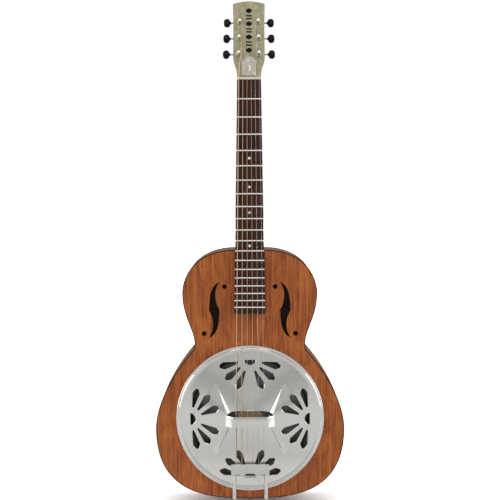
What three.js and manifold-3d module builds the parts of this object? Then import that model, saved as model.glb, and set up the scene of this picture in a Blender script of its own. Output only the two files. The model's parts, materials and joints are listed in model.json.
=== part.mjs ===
// A six-string resonator guitar: wooden body, single spun cone with a biscuit bridge under a
// pressed metal cover plate, and a neck with an open-geared tuner for each string.
//
// Millimetres. Every part is drawn on the bench: the guitar lies on its back, x across,
// y from the tail to the head, z out of the top, with z = 0 on the outer face of the top
// and y = 0 at the tail end of the body. The last lines stand it up: +Z along the neck,
// the strings facing -Y, and the origin at the outer face of the strap button.

import * as THREE from 'three';
import { mergeVertices } from 'three/addons/utils/BufferGeometryUtils.js';
import Module from 'manifold-3d';

const wasm = await Module();
wasm.setup();

// ---------------------------------------------------------------- driving dimensions

const GAP = 0.3;
const SCALE_LENGTH = 635;

const BODY_LENGTH = 475.7;
const BODY_DEPTH = 84;
const LOWER_HALF = 179;
const LOWER_Y = 134.2;
const WAIST_HALF = 104.4;
const WAIST_Y = 297.9;
const UPPER_HALF = 127;
const UPPER_Y = 393.9;
const NECK_FLAT_HALF = 28;
const PLATE_THICKNESS = 3.2;
const SIDE_THICKNESS = 2.5;
const BINDING_WIDTH = 1.8;

const PLATE_Y = 155.4;
const COVER_RADIUS = 139.6;
const CONE_RADIUS = 120.6;
const WELL_RADIUS = 122.5;
const WELL_OUTER = 128.5;
const SADDLE_TOP = 22;
const REST_HALF_DEPTH = 10.4;
const REST_TOP = 32;

const COMPENSATION = 1.3;
const NUT_Y = PLATE_Y + COMPENSATION + SCALE_LENGTH;
const NUT_THICKNESS = 4.7;
const TWELFTH_Y = NUT_Y - SCALE_LENGTH / 2;
const NECK_SLOPE = Math.tan(THREE.MathUtils.degToRad(2));
const BOARD_AT_TWELFTH = 6.6;
const BOARD_THICKNESS = 6.5;
const BOARD_END_Y = 356.8;
const BOARD_NUT_WIDTH = 44.45;
const BOARD_TWELFTH_WIDTH = 54;
const FRET_COUNT = 19;
const FRET_HEIGHT = 1.0;
const FRET_WIDTH = 2.2;

const HEAD_TILT = THREE.MathUtils.degToRad(15);
const HEAD_Y = NUT_Y + NUT_THICKNESS;
const HEAD_LENGTH = 151.5;
const HEAD_HALF = 29.6;
const HEAD_TIP_HALF = 30.1;
const HEAD_CORNER_Y = 147;
const HEAD_THICKNESS = 15;
const OVERLAY_THICKNESS = 1.5;
const HEAD_FACE_Z = boardZ(HEAD_Y) - BOARD_THICKNESS + 1.8;

const STRING_DIAMETERS = [1.42, 1.07, 0.81, 0.61, 0.43, 0.33];
const NUT_SPREAD = 37.8;
const SADDLE_SPREAD = 53;
const TAILPIECE_Y = 70.6;
const TAILPIECE_BACK_Y = 47.1;
const TAILPIECE_HALF = 36.2;
const TAIL_ARM_X = 30.2;
const TAILPIECE_STRING_Z = 11.5;

const POST_RADIUS = 3;
const POSTS = [
  { x: -18.9, y: 46 },
  { x: -18.1, y: 77.8 },
  { x: -17.2, y: 109.6 },
  { x: 17.2, y: 109.6 },
  { x: 18.1, y: 77.8 },
  { x: 18.9, y: 46 },
];
const GEAR_TEETH = 14;
const GEAR_PITCH_RADIUS = 5;
const GEAR_THICKNESS = 3;
const WORM_PITCH_RADIUS = 2.3;
const WORM_OFFSET = GEAR_PITCH_RADIUS + WORM_PITCH_RADIUS;
const WORM_PITCH = (2 * Math.PI * GEAR_PITCH_RADIUS) / GEAR_TEETH;
const WORM_Z = -20.5;
const KNOB_REACH = 23.5;

// Height of the fingerboard's playing face: it falls two degrees towards the nut.
function boardZ(y) {
  return BOARD_AT_TWELFTH - (y - TWELFTH_Y) * NECK_SLOPE;
}

function boardHalfWidth(y) {
  const growth = (BOARD_TWELFTH_WIDTH - BOARD_NUT_WIDTH) / (NUT_Y - TWELFTH_Y);
  return (BOARD_NUT_WIDTH + (NUT_Y - y) * growth) / 2;
}

// ---------------------------------------------------------------- materials

function finish(color, roughness, metalness) {
  return new THREE.MeshStandardMaterial({ color, roughness, metalness });
}

const MAHOGANY = finish(0x9a5a38, 0.45, 0);
const DARK_EDGE = finish(0x2a1a14, 0.4, 0);
const INNER_WOOD = finish(0xb98d5e, 0.8, 0);
const ROSEWOOD = finish(0x3c2824, 0.55, 0);
const CHROME = finish(0xcfd0cc, 0.12, 1);
const ALUMINIUM = finish(0xa9abad, 0.35, 1);
const BLACK_MESH = finish(0x101010, 0.6, 0.5);
const MAPLE = finish(0xd9b98a, 0.6, 0);
const BONE = finish(0xe8e0c8, 0.45, 0);
const PEARLOID = finish(0xb4ab86, 0.3, 0);
const WHITE_PEARLOID = finish(0xc8c5bd, 0.3, 0);
const BLACK_PLASTIC = finish(0x151515, 0.25, 0);
const BRONZE = finish(0xb07848, 0.35, 1);
const PLAIN_STEEL = finish(0xc4c6c8, 0.3, 1);
const BRASS = finish(0xb8964f, 0.35, 1);

// ---------------------------------------------------------------- solids

// A closed geometry as a manifold solid with its faces pointing out.
function solid(geometry) {
  const bare = geometry.clone();
  bare.deleteAttribute('normal');
  bare.deleteAttribute('uv');
  const merged = mergeVertices(bare, 1e-4);
  const vertProperties = new Float32Array(merged.attributes.position.array);
  const triVerts = new Uint32Array(merged.index.array);
  const made = new wasm.Manifold(new wasm.Mesh({ numProp: 3, vertProperties, triVerts }));
  if (made.volume() > 0) {
    return made;
  }
  for (let i = 0; i < triVerts.length; i += 3) {
    [triVerts[i + 1], triVerts[i + 2]] = [triVerts[i + 2], triVerts[i + 1]];
  }
  return new wasm.Manifold(new wasm.Mesh({ numProp: 3, vertProperties, triVerts }));
}

function joined(...geometries) {
  return geometries.map(solid).reduce((all, one) => all.add(one));
}

function cut(body, ...tools) {
  const start = body instanceof THREE.BufferGeometry ? solid(body) : body;
  return tools.map(solid).reduce((rest, tool) => rest.subtract(tool), start);
}

function geometryOf(made) {
  const mesh = made.getMesh();
  const geometry = new THREE.BufferGeometry();
  geometry.setAttribute('position', new THREE.BufferAttribute(mesh.vertProperties, 3));
  geometry.setIndex(new THREE.BufferAttribute(mesh.triVerts, 1));
  return geometry;
}

function add(group, name, shape, material) {
  const made = shape instanceof THREE.BufferGeometry ? solid(shape) : shape;
  const geometry = geometryOf(made);
  geometry.computeVertexNormals();
  const mesh = new THREE.Mesh(geometry, material);
  mesh.name = name;
  group.add(mesh);
  return mesh;
}

// An outline in x and y, from height low to height high.
function slab(shape, low, high, curveSegments = 6) {
  const settings = { depth: high - low, bevelEnabled: false, curveSegments };
  return new THREE.ExtrudeGeometry(shape, settings).translate(0, 0, low);
}

// An outline in y and z, extruded along x.
function slabAlongX(points, low, high) {
  const shape = new THREE.Shape(points.map(([y, z]) => new THREE.Vector2(y, z)));
  const geometry = slab(shape, low, high);
  return geometry.rotateY(Math.PI / 2).rotateX(Math.PI / 2);
}

// An outline in x and z, extruded along y.
function slabAlongY(points, low, high) {
  const shape = new THREE.Shape(points.map(([x, z]) => new THREE.Vector2(x, z)));
  return slab(shape, -high, -low).rotateX(Math.PI / 2);
}

function block(x0, x1, y0, y1, z0, z1) {
  const box = new THREE.BoxGeometry(x1 - x0, y1 - y0, z1 - z0);
  return box.translate((x0 + x1) / 2, (y0 + y1) / 2, (z0 + z1) / 2);
}

// A turned solid standing on the xy plane, from a closed or axis-to-axis profile of
// [radius, height] pairs.
function turned(profile, segments) {
  const points = profile.map(([r, h]) => new THREE.Vector2(r, h));
  return new THREE.LatheGeometry(points, segments).rotateX(Math.PI / 2);
}

// A skin over rings of points, closed by a fan at each end; each ring is convex.
function loft(rings) {
  const count = rings[0].length;
  const positions = rings.flat().flat();
  const index = [];
  for (let i = 0; i + 1 < rings.length; i += 1) {
    for (let j = 0; j < count; j += 1) {
      const a = i * count + j;
      const b = i * count + ((j + 1) % count);
      index.push(a, b, b + count, a, b + count, a + count);
    }
  }
  const last = (rings.length - 1) * count;
  for (let j = 1; j + 1 < count; j += 1) {
    index.push(0, j + 1, j, last, last + j, last + j + 1);
  }
  const geometry = new THREE.BufferGeometry();
  geometry.setAttribute('position', new THREE.Float32BufferAttribute(positions, 3));
  geometry.setIndex(index);
  return geometry;
}

// ---------------------------------------------------------------- body outline

// The right half of the outline, from the tail centre to the neck centre.
function halfOutline() {
  const path = new THREE.Path();
  path.moveTo(0, 0);
  path.bezierCurveTo(60.2, 0, LOWER_HALF, -2.9, LOWER_HALF, LOWER_Y);
  path.bezierCurveTo(LOWER_HALF, 192.9, 132.9, 257.9, 106.3, 286.6);
  path.quadraticCurveTo(WAIST_HALF, 288.7, WAIST_HALF, WAIST_Y);
  path.bezierCurveTo(WAIST_HALF, 324.2, UPPER_HALF, 349.4, UPPER_HALF, UPPER_Y);
  path.bezierCurveTo(UPPER_HALF, 419.7, 109, BODY_LENGTH, NECK_FLAT_HALF, BODY_LENGTH);
  path.lineTo(0, BODY_LENGTH);
  return path.getPoints(9);
}

// The half outline moved inwards by a distance, with its ends kept on the centre line.
function insetHalf(distance) {
  const points = halfOutline();
  return points.map((point, i) => {
    const before = points[Math.max(i - 1, 0)];
    const after = points[Math.min(i + 1, points.length - 1)];
    const along = after.clone().sub(before).normalize();
    const moved = point.clone().add(new THREE.Vector2(-along.y, along.x).multiplyScalar(distance));
    const end = i === 0 || i === points.length - 1;
    return end ? new THREE.Vector2(0, moved.y) : moved;
  });
}

function mirrored(points) {
  return points.map((p) => new THREE.Vector2(-p.x, p.y));
}

function bodyShape(inset) {
  const right = insetHalf(inset);
  const left = mirrored(right).reverse();
  return new THREE.Shape([...right, ...left.slice(1, -1)]);
}

// ---------------------------------------------------------------- body

const STEM_X = 66.9;
const STEM_Y = 362.6;

// One f-hole stem on the right half of the top, point-symmetric about its middle.
function stemShape() {
  const middle = new THREE.Vector2(STEM_X, STEM_Y);
  const tip = new THREE.Vector2(55.1, 415.3);
  const outerNick = new THREE.Vector2(76.7, 360.9);
  const outer = [new THREE.Vector2(70.8, 412.3), new THREE.Vector2(76.2, 395)];
  const inner = [new THREE.Vector2(66.8, 408.2), new THREE.Vector2(67.9, 377.6)];
  const turn = (p) => middle.clone().multiplyScalar(2).sub(p);
  const curve = (path, a, b, end) => path.bezierCurveTo(a.x, a.y, b.x, b.y, end.x, end.y);
  const path = new THREE.Shape();
  path.moveTo(tip.x, tip.y);
  curve(path, outer[0], outer[1], outerNick);
  curve(path, turn(inner[1]), turn(inner[0]), turn(tip));
  curve(path, turn(outer[0]), turn(outer[1]), turn(outerNick));
  curve(path, inner[1], inner[0], tip);
  return path;
}

function discShape(x, y, radius) {
  const path = new THREE.Shape();
  path.absarc(x, y, radius, 0, 2 * Math.PI);
  return path;
}

function fHoleTools() {
  const shapes = [stemShape(), discShape(47.6, 406.7, 4.5), discShape(86.2, 317.8, 4.6)];
  const right = shapes.map((shape) => slab(shape, -10, 10, 5));
  const left = right.map((tool) => tool.clone().rotateY(Math.PI));
  return [...right, ...left];
}

function topPlate() {
  const board = slab(bodyShape(BINDING_WIDTH + GAP), -PLATE_THICKNESS, 0);
  const well = slab(discShape(0, PLATE_Y, WELL_RADIUS), -10, 10, 32);
  return cut(board, well, ...fHoleTools());
}

function backPlate() {
  return slab(bodyShape(BINDING_WIDTH + GAP), -BODY_DEPTH, -BODY_DEPTH + PLATE_THICKNESS);
}

function binding(low, high) {
  return cut(slab(bodyShape(0), low, high), slab(bodyShape(BINDING_WIDTH), low - 1, high + 1));
}

const INSIDE_LOW = -BODY_DEPTH + PLATE_THICKNESS + GAP;
const INSIDE_HIGH = -PLATE_THICKNESS - GAP;
const STICK_LOW = -62;
const STICK_HIGH = -38;
const SHANK_RADIUS = 3;

// The way through the tail end for the strap button's shank.
function shankHole() {
  const radius = SHANK_RADIUS + GAP;
  const pin = turned([[0, -20], [radius, -20], [radius, 14], [0, 14]], 12);
  return pin.rotateX(-Math.PI / 2).translate(0, 0, -BODY_DEPTH / 2);
}

// One half of the bent sides, from the tail joint to the neck joint.
function side() {
  const clear = (points) => points.map((p) => new THREE.Vector2(Math.max(p.x, GAP / 2), p.y));
  const outer = clear(insetHalf(0));
  const inner = clear(insetHalf(SIDE_THICKNESS));
  const shape = new THREE.Shape([...outer, ...inner.reverse()]);
  return cut(slab(shape, INSIDE_LOW, INSIDE_HIGH), shankHole());
}

function neckBlock() {
  const end = BODY_LENGTH - SIDE_THICKNESS - GAP;
  return block(-30, 30, end - 38, end, INSIDE_LOW, INSIDE_HIGH);
}

function tailBlock() {
  const start = SIDE_THICKNESS + GAP + 0.4;
  return cut(block(-32, 32, start, 17.5, INSIDE_LOW, INSIDE_HIGH), shankHole());
}

function neckStick() {
  const start = 17.5 + GAP;
  const end = BODY_LENGTH - SIDE_THICKNESS - 2 * GAP - 38;
  return block(-15, 15, start, end, STICK_LOW, STICK_HIGH);
}

// The plywood well carries the cone on its ledge; round ports open it to the body.
function soundwell() {
  const ledge = -15.6;
  const profile = [
    [WELL_RADIUS, INSIDE_HIGH],
    [WELL_RADIUS, ledge],
    [117.5, ledge],
    [117.5, ledge - 6.4],
    [WELL_RADIUS, ledge - 6.4],
    [WELL_RADIUS, INSIDE_LOW],
    [WELL_OUTER, INSIDE_LOW],
    [WELL_OUTER, INSIDE_HIGH],
    [WELL_RADIUS, INSIDE_HIGH],
  ];
  const ports = [];
  for (let i = 0; i < 8; i += 1) {
    const port = turned([[0, 100], [12, 100], [12, 140], [0, 140]], 10).rotateX(Math.PI / 2);
    ports.push(port.rotateZ((i + 0.5) * Math.PI / 4).translate(0, 0, -50));
  }
  const notch = block(-15.5, 15.5, -140, 140, STICK_LOW - 0.5, STICK_HIGH + 0.5);
  return cut(turned(profile, 44), ...ports, notch).translate([0, PLATE_Y, 0]);
}

function fHoleScreen(sign) {
  const sheet = slab(discShape(0, 0, 1), 0, 1, 8).scale(16, 60, 1);
  return sheet.rotateZ(sign * 0.16).translate(sign * STEM_X, STEM_Y, INSIDE_HIGH - 1.3);
}

// ---------------------------------------------------------------- resonator

function cone() {
  const profile = [
    [2.3, 6.2],
    [24, 6.2],
    [110.5, -13.8],
    [113.5, -17],
    [116.5, -14.5],
    [CONE_RADIUS, -14.5],
    [CONE_RADIUS, -15.3],
    [116, -15.3],
    [113.5, -18],
    [110, -14.7],
    [24, 5.3],
    [2.3, 5.3],
    [2.3, 6.2],
  ];
  return turned(profile, 40).translate(0, PLATE_Y, 0);
}

const BISCUIT_LOW = 6.5;
const BISCUIT_HIGH = 13.5;

function biscuit() {
  const disc = turned([[0, BISCUIT_LOW], [25, BISCUIT_LOW], [25, BISCUIT_HIGH], [0, BISCUIT_HIGH]], 32);
  const hole = turned([[0, 0], [2.3, 0], [2.3, 10.3], [0, 10.3]], 12);
  const slot = block(-30, 30, -1.9, 1.9, 11, 20);
  return cut(disc, hole, slot).translate([0, PLATE_Y, 0]);
}

function biscuitScrew() {
  const profile = [[0, 3.6], [4, 3.6], [4, 5], [2, 5], [2, 10], [0, 10]];
  return turned(profile, 12).translate(0, PLATE_Y, 0);
}

function saddle() {
  const outline = [[-28.5, 13.8], [-24, 13.8], [-24, 11.3], [24, 11.3], [24, 13.8], [28.5, 13.8]];
  outline.push([28.5, SADDLE_TOP], [-28.5, SADDLE_TOP]);
  return slabAlongY(outline, PLATE_Y - 1.6, PLATE_Y + 1.6);
}

// ---------------------------------------------------------------- cover plate

const FOOT_RADIUS = COVER_RADIUS - 10.5;
const FOOT_Z = 2.8;
const BEAD_RADIUS = COVER_RADIUS - 6;
const BEAD_TOP = 4.3;
const CROWN_RADIUS = 20;
const CROWN_Z = 16;
const SHOULDER_RADIUS = 90;
const SHOULDER_RISE = 7;
const SHEET = 1;

function domeZ(r) {
  const t = (FOOT_RADIUS - Math.max(r, CROWN_RADIUS)) / (FOOT_RADIUS - CROWN_RADIUS);
  return FOOT_Z + (CROWN_Z - FOOT_Z) * t;
}

// The extra height of the two side shoulders, which rise towards the legs of the hand
// rest and end in a sloping wall along each diagonal.
function shoulderRise(x, y) {
  const r = Math.hypot(x, y);
  if (r >= SHOULDER_RADIUS) {
    return 0;
  }
  const out = Math.max(Math.abs(y) - 12, 0);
  const ridge = 43 + 0.36 * out;
  const toe = 36 + 0.5 * out;
  const wall = THREE.MathUtils.clamp((Math.abs(x) - toe) / Math.max(ridge - toe, 0.01), 0, 1);
  const rise = Math.min((SHOULDER_RADIUS - r) / (SHOULDER_RADIUS - 45), 1);
  return SHOULDER_RISE * rise * wall;
}

const FLOWER_CENTRE = 113;
const FLOWER_HALF_DISC = 11;
const FLOWER_FAN = [24.5, 51.5, 77];

// One petal of the pierced flower, pointing along +y from the flower's centre.
function petalShape() {
  const points = [[-1.6, 22.5], [1.6, 22.5], [6.9, 51], [2.2, 59], [-2.2, 59], [-6.9, 51]];
  return new THREE.Shape(points.map(([x, y]) => new THREE.Vector2(x, y)));
}

// A flower has its centre near the rim, with a half disc there and six petals that fan
// out towards the middle of the plate.
function flowerTools() {
  const tools = [];
  const half = new THREE.Shape();
  half.absarc(0, 0, FLOWER_HALF_DISC, Math.PI, 2 * Math.PI);
  for (let quarter = 0; quarter < 4; quarter += 1) {
    const turn = quarter * Math.PI / 2;
    const place = (tool) => tool.translate(0, FLOWER_CENTRE, 0).rotateZ(turn).translate(0, PLATE_Y, 0);
    tools.push(place(slab(half, -2, 30, 5).scale(1, 0.87, 1)));
    for (const degrees of FLOWER_FAN) {
      for (const side of [-1, 1]) {
        const fan = Math.PI + side * THREE.MathUtils.degToRad(degrees);
        tools.push(place(slab(petalShape(), -2, 30).rotateZ(fan)));
      }
    }
  }
  return tools;
}

// The strings' slot, open under the hand rest.
function slotTool() {
  const points = [[-43, -9], [43, -9], [43, 13], [30, 17.3], [-30, 17.3], [-43, 13]];
  const shape = new THREE.Shape(points.map(([x, y]) => new THREE.Vector2(x, y + PLATE_Y)));
  return slab(shape, -2, 60);
}

function handRestStrap() {
  const top = [[-46.3, 19], [-43.8, 21], [-34.6, 29.5], [-30.5, REST_TOP]];
  const outer = [...top, ...top.map(([x, z]) => [-x, z]).reverse()];
  const inner = outer.map(([x, z]) => [x * 0.97, z - 1.6]).reverse();
  return slabAlongY([...outer, ...inner], PLATE_Y - REST_HALF_DEPTH, PLATE_Y + REST_HALF_DEPTH);
}

function coverPlate() {
  const rings = [SHOULDER_RADIUS, 75, 60, 49, 41, CROWN_RADIUS];
  const upper = rings.map((r) => [r, domeZ(r)]);
  const lower = rings.map((r) => [r, domeZ(r) - SHEET]).reverse();
  const rim = [
    [FOOT_RADIUS, FOOT_Z],
    [BEAD_RADIUS - 2.8, 3.4],
    [BEAD_RADIUS, BEAD_TOP],
    [BEAD_RADIUS + 2.6, 1.4],
    [BEAD_RADIUS + 3.6, 1.6],
  ];
  const profile = [
    [0, CROWN_Z],
    ...upper.reverse(),
    ...rim,
    [COVER_RADIUS, 1.5],
    [COVER_RADIUS, GAP],
    [BEAD_RADIUS + 2.8, GAP],
    [BEAD_RADIUS, FOOT_Z],
    [FOOT_RADIUS, FOOT_Z - SHEET],
    ...lower.reverse(),
    [0, CROWN_Z - SHEET],
  ];
  const plate = turned(profile, 48);
  const position = plate.attributes.position;
  for (let i = 0; i < position.count; i += 1) {
    const rise = shoulderRise(position.getX(i), position.getY(i));
    position.setZ(i, position.getZ(i) + rise);
  }
  plate.translate(0, PLATE_Y, 0);
  const open = cut(plate, slotTool(), ...flowerTools());
  return open.add(solid(handRestStrap()));
}

// ---------------------------------------------------------------- neck

// The neck's section: flat on top and round below, at one place along the neck.
function neckRing(y, top, depth, half) {
  const ring = [];
  const steps = 10;
  for (let i = 0; i <= steps; i += 1) {
    const angle = Math.PI * i / steps;
    ring.push([half * Math.cos(angle), y, top - 2 - (depth - 2) * Math.sin(angle) ** 0.8]);
  }
  ring.push([-half, y, top], [half, y, top]);
  return ring;
}

function neckTop(y) {
  if (y <= HEAD_Y) {
    return boardZ(y) - BOARD_THICKNESS - GAP;
  }
  return HEAD_FACE_Z - OVERLAY_THICKNESS - GAP - (y - HEAD_Y) * Math.tan(HEAD_TILT);
}

function neckShaft() {
  const start = BODY_LENGTH + GAP;
  const heelLength = 46;
  const rings = [0, 3, 7, 12, 18, 26, 36, heelLength, 120, 220].map((distance) => {
    const y = start + distance;
    const heel = Math.max(1 - distance / heelLength, 0);
    return neckRing(y, neckTop(y), 18 + 54 * heel ** 2.2, boardHalfWidth(y));
  });
  rings.push(neckRing(NUT_Y - 20, neckTop(NUT_Y - 20), 16, boardHalfWidth(NUT_Y - 20)));
  rings.push(neckRing(HEAD_Y, neckTop(HEAD_Y), 16, BOARD_NUT_WIDTH / 2));
  rings.push(neckRing(HEAD_Y + 9, neckTop(HEAD_Y + 9), 13, BOARD_NUT_WIDTH / 2));
  return loft(rings);
}

// The head's outline in its own plane: y along the head from the nut.
function headShape(inset) {
  const half = BOARD_NUT_WIDTH / 2 - inset;
  const wide = HEAD_HALF - inset;
  const tip = HEAD_TIP_HALF - inset;
  const corner = HEAD_CORNER_Y - inset;
  const end = HEAD_LENGTH - inset;
  const path = new THREE.Shape();
  path.moveTo(-half, inset);
  path.lineTo(half, inset);
  path.bezierCurveTo(half, 11, wide, 21, wide, 36);
  path.quadraticCurveTo(wide - 0.4, 90, tip, 142);
  path.quadraticCurveTo(tip, corner - 1, tip - 4, corner);
  path.quadraticCurveTo(14, end, 0, end);
  path.quadraticCurveTo(-14, end, 4 - tip, corner);
  path.quadraticCurveTo(-tip, corner - 1, -tip, 142);
  path.quadraticCurveTo(0.4 - wide, 90, -wide, 36);
  path.bezierCurveTo(-wide, 21, -half, 11, -half, inset);
  return path;
}

function postHoles(radius) {
  const pin = [[0, -40], [radius, -40], [radius, 20], [0, 20]];
  return POSTS.map(({ x, y }) => turned(pin, 12).translate(x, y, 0));
}

// Puts a shape from the head's own plane into the bench frame.
function fromHead(geometry) {
  return geometry.rotateX(-HEAD_TILT).translate(0, HEAD_Y, HEAD_FACE_Z);
}

// The pocket in the head through which a key reaches the truss nut.
function trussPocket() {
  return block(-5.5, 5.5, 2.5, 24, -12, 5);
}

const FERRULE_HOLE = 4.5;
const ROD_CHANNEL_HALF = 3.6;
const ROD_Z_BELOW = 5.2;
const ROD_START = BODY_LENGTH + 20;
const ROD_END = HEAD_Y + 2.3;

// The neck is one piece of mahogany, from the heel to the tip of the head, with a channel
// for the truss rod under the fingerboard.
function neck() {
  const woodTop = -OVERLAY_THICKNESS - GAP;
  const head = fromHead(slab(headShape(0), -HEAD_THICKNESS, woodTop, 8));
  const low = (y) => neckTop(y) - ROD_Z_BELOW - ROD_CHANNEL_HALF;
  const channel = slabAlongX([
    [ROD_START - 2, low(ROD_START)],
    [HEAD_Y + 18, low(HEAD_Y)],
    [HEAD_Y + 18, 10],
    [ROD_START - 2, 20],
  ], -ROD_CHANNEL_HALF, ROD_CHANNEL_HALF);
  const holes = postHoles(FERRULE_HOLE).map(fromHead);
  return cut(joined(neckShaft(), head), channel, fromHead(trussPocket()), ...holes);
}

function headOverlay() {
  const veneer = slab(headShape(0.15), -OVERLAY_THICKNESS, 0, 8);
  return cut(veneer, trussPocket(), ...postHoles(FERRULE_HOLE));
}

function fingerboard() {
  const ends = [BOARD_END_Y, NUT_Y - GAP];
  const board = loft(ends.map((y) => {
    const half = boardHalfWidth(y);
    const top = boardZ(y);
    const low = top - BOARD_THICKNESS;
    return [[-half, y, low], [half, y, low], [half, y, top], [-half, y, top]];
  }));
  const frets = [];
  for (let n = 1; n <= FRET_COUNT; n += 1) {
    const y = NUT_Y - SCALE_LENGTH * (1 - 2 ** (-n / 12));
    const base = boardZ(y);
    const crown = [[-1, -0.4], [-1, 0.1], [-0.6, 0.8], [0, 1], [0.6, 0.8], [1, 0.1], [1, -0.4]];
    const profile = crown.map(([a, b]) => [y + a * FRET_WIDTH / 2, base + b * FRET_HEIGHT]);
    const half = boardHalfWidth(y) - 0.4;
    frets.push(slabAlongX(profile, -half, half));
  }
  return joined(board, ...frets);
}

// The wedge that fills the space between the top and the end of the fingerboard.
function fingerboardWedge() {
  const rings = [BOARD_END_Y + 0.5, BODY_LENGTH - 29].map((y) => {
    const half = boardHalfWidth(y) - 1.5;
    const high = boardZ(y) - BOARD_THICKNESS - GAP;
    return [[-half, y, GAP], [half, y, GAP], [half, y, high], [-half, y, high]];
  });
  return loft(rings);
}

function stringX(i, spread) {
  return -spread / 2 + (spread * i) / 5;
}

const NUT_FLOOR = boardZ(NUT_Y) + FRET_HEIGHT + 0.2;

function nut() {
  const half = BOARD_NUT_WIDTH / 2;
  const base = boardZ(NUT_Y) - BOARD_THICKNESS;
  const high = NUT_FLOOR + 1.2;
  const profile = [
    [NUT_Y, base],
    [NUT_Y + NUT_THICKNESS - GAP, base + 0.1],
    [NUT_Y + NUT_THICKNESS - GAP, high - 1.1],
    [NUT_Y + 2.4, high],
    [NUT_Y, high],
  ];
  const slots = STRING_DIAMETERS.map((diameter, i) => {
    const x = stringX(i, NUT_SPREAD);
    const reach = diameter / 2 + GAP;
    return block(x - reach, x + reach, NUT_Y - 5, NUT_Y + 10, NUT_FLOOR - 1.2, NUT_FLOOR + 5)
      .applyMatrix4(nutSlotTilt());
  });
  return cut(slabAlongX(profile, -half, half), ...slots);
}

// The slots fall towards the head about the nut's front edge.
function nutSlotTilt() {
  const turn = new THREE.Matrix4().makeRotationX(-0.25);
  const there = new THREE.Matrix4().makeTranslation(0, NUT_Y, NUT_FLOOR);
  const back = new THREE.Matrix4().makeTranslation(0, -NUT_Y, -NUT_FLOOR + 1.2);
  return there.multiply(turn).multiply(back);
}

// ---------------------------------------------------------------- truss rod

function rodZ(y) {
  return neckTop(Math.min(y, HEAD_Y)) - ROD_Z_BELOW;
}

function trussRod() {
  const length = ROD_END - ROD_START;
  const rod = new THREE.CylinderGeometry(3, 3, length, 12);
  const slope = Math.atan(NECK_SLOPE);
  const middle = (ROD_START + ROD_END) / 2;
  return rod.rotateX(-slope).translate(0, middle, rodZ(middle));
}

const TRUSS_NUT_Y = HEAD_Y + 2.6;
const TRUSS_NUT_LENGTH = 11;

// A hexagonal brass nut at the end of the rod, in the pocket of the head.
function trussNut() {
  const hex = new THREE.CylinderGeometry(3.1, 3.1, TRUSS_NUT_LENGTH, 6);
  const key = new THREE.CylinderGeometry(1.5, 1.5, 5, 6).translate(0, TRUSS_NUT_LENGTH / 2, 0);
  return geometryOf(cut(hex, key));
}

const TRUSS_COVER_HALF = 13.3;
const TRUSS_COVER_START = 2.6;
const TRUSS_COVER_END = 40.6;

function trussCover() {
  const path = new THREE.Shape();
  path.moveTo(-TRUSS_COVER_HALF, TRUSS_COVER_START);
  path.lineTo(TRUSS_COVER_HALF, TRUSS_COVER_START);
  path.lineTo(TRUSS_COVER_HALF, 22);
  path.bezierCurveTo(TRUSS_COVER_HALF, 33, 8.4, TRUSS_COVER_END, 0, TRUSS_COVER_END);
  path.bezierCurveTo(-8.4, TRUSS_COVER_END, -TRUSS_COVER_HALF, 33, -TRUSS_COVER_HALF, 22);
  path.lineTo(-TRUSS_COVER_HALF, TRUSS_COVER_START);
  return slab(path, GAP, 1.8, 8);
}

// ---------------------------------------------------------------- tuners

// A gear with straight-sided teeth, twisted to follow the worm's thread, with a space
// between two teeth facing +y.
function gear() {
  const points = [];
  for (let i = 0; i < GEAR_TEETH; i += 1) {
    const middle = Math.PI / 2 + ((i + 0.5) * 2 * Math.PI) / GEAR_TEETH;
    for (const [radius, offset] of [[4.2, -0.155], [5.55, -0.054], [5.55, 0.054], [4.2, 0.155]]) {
      const angle = middle + offset;
      points.push(new THREE.Vector2(radius * Math.cos(angle), radius * Math.sin(angle)));
    }
  }
  const wheel = slab(new THREE.Shape(points), -GEAR_THICKNESS / 2, GEAR_THICKNESS / 2);
  const twist = WORM_PITCH / (2 * Math.PI * WORM_PITCH_RADIUS * GEAR_PITCH_RADIUS);
  const position = wheel.attributes.position;
  for (let i = 0; i < position.count; i += 1) {
    const point = new THREE.Vector3().fromBufferAttribute(position, i);
    point.applyAxisAngle(new THREE.Vector3(0, 0, 1), twist * point.z);
    position.setXYZ(i, point.x, point.y, point.z);
  }
  return wheel.translate(0, 0, WORM_Z);
}

// The string post, standing through the head, with its gear pressed on the lower end.
function post() {
  const profile = [
    [0, WORM_Z - 2.2],
    [2.6, WORM_Z - 2.2],
    [POST_RADIUS, WORM_Z - 1],
    [POST_RADIUS, 3.4],
    [2.5, 4.4],
    [2.5, 6.4],
    [POST_RADIUS, 7.4],
    [2.6, 9.2],
    [0, 9.6],
  ];
  const eye = new THREE.CylinderGeometry(0.9, 0.9, 12, 6).translate(0, 0, 5.4);
  return cut(joined(turned(profile, 12), gear()), eye);
}

// The worm's thread: a trapezoid swept once round the shaft for each turn of a helix,
// set so that it stands in the gear's tooth space on the side that faces the gear.
function wormThread() {
  const turns = 3;
  const steps = turns * 8;
  const profile = [[1.2, -0.55], [2.75, -0.28], [2.75, 0.28], [1.2, 0.55]];
  const rings = [];
  for (let i = 0; i <= steps; i += 1) {
    const turn = turns * (i / steps - 0.5);
    const angle = Math.PI + 2 * Math.PI * turn;
    rings.push(profile.map(([r, along]) => [
      WORM_PITCH * turn + along,
      r * Math.cos(angle),
      r * Math.sin(angle),
    ]));
  }
  return loft(rings);
}

// A worm and its shaft along x, reaching out to the button on one side.
function wormShaft(sign, reach) {
  const core = turned([[0, -9], [1.45, -9], [1.45, reach], [0, reach]], 8);
  return joined(core.rotateY(sign * Math.PI / 2), wormThread());
}

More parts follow.
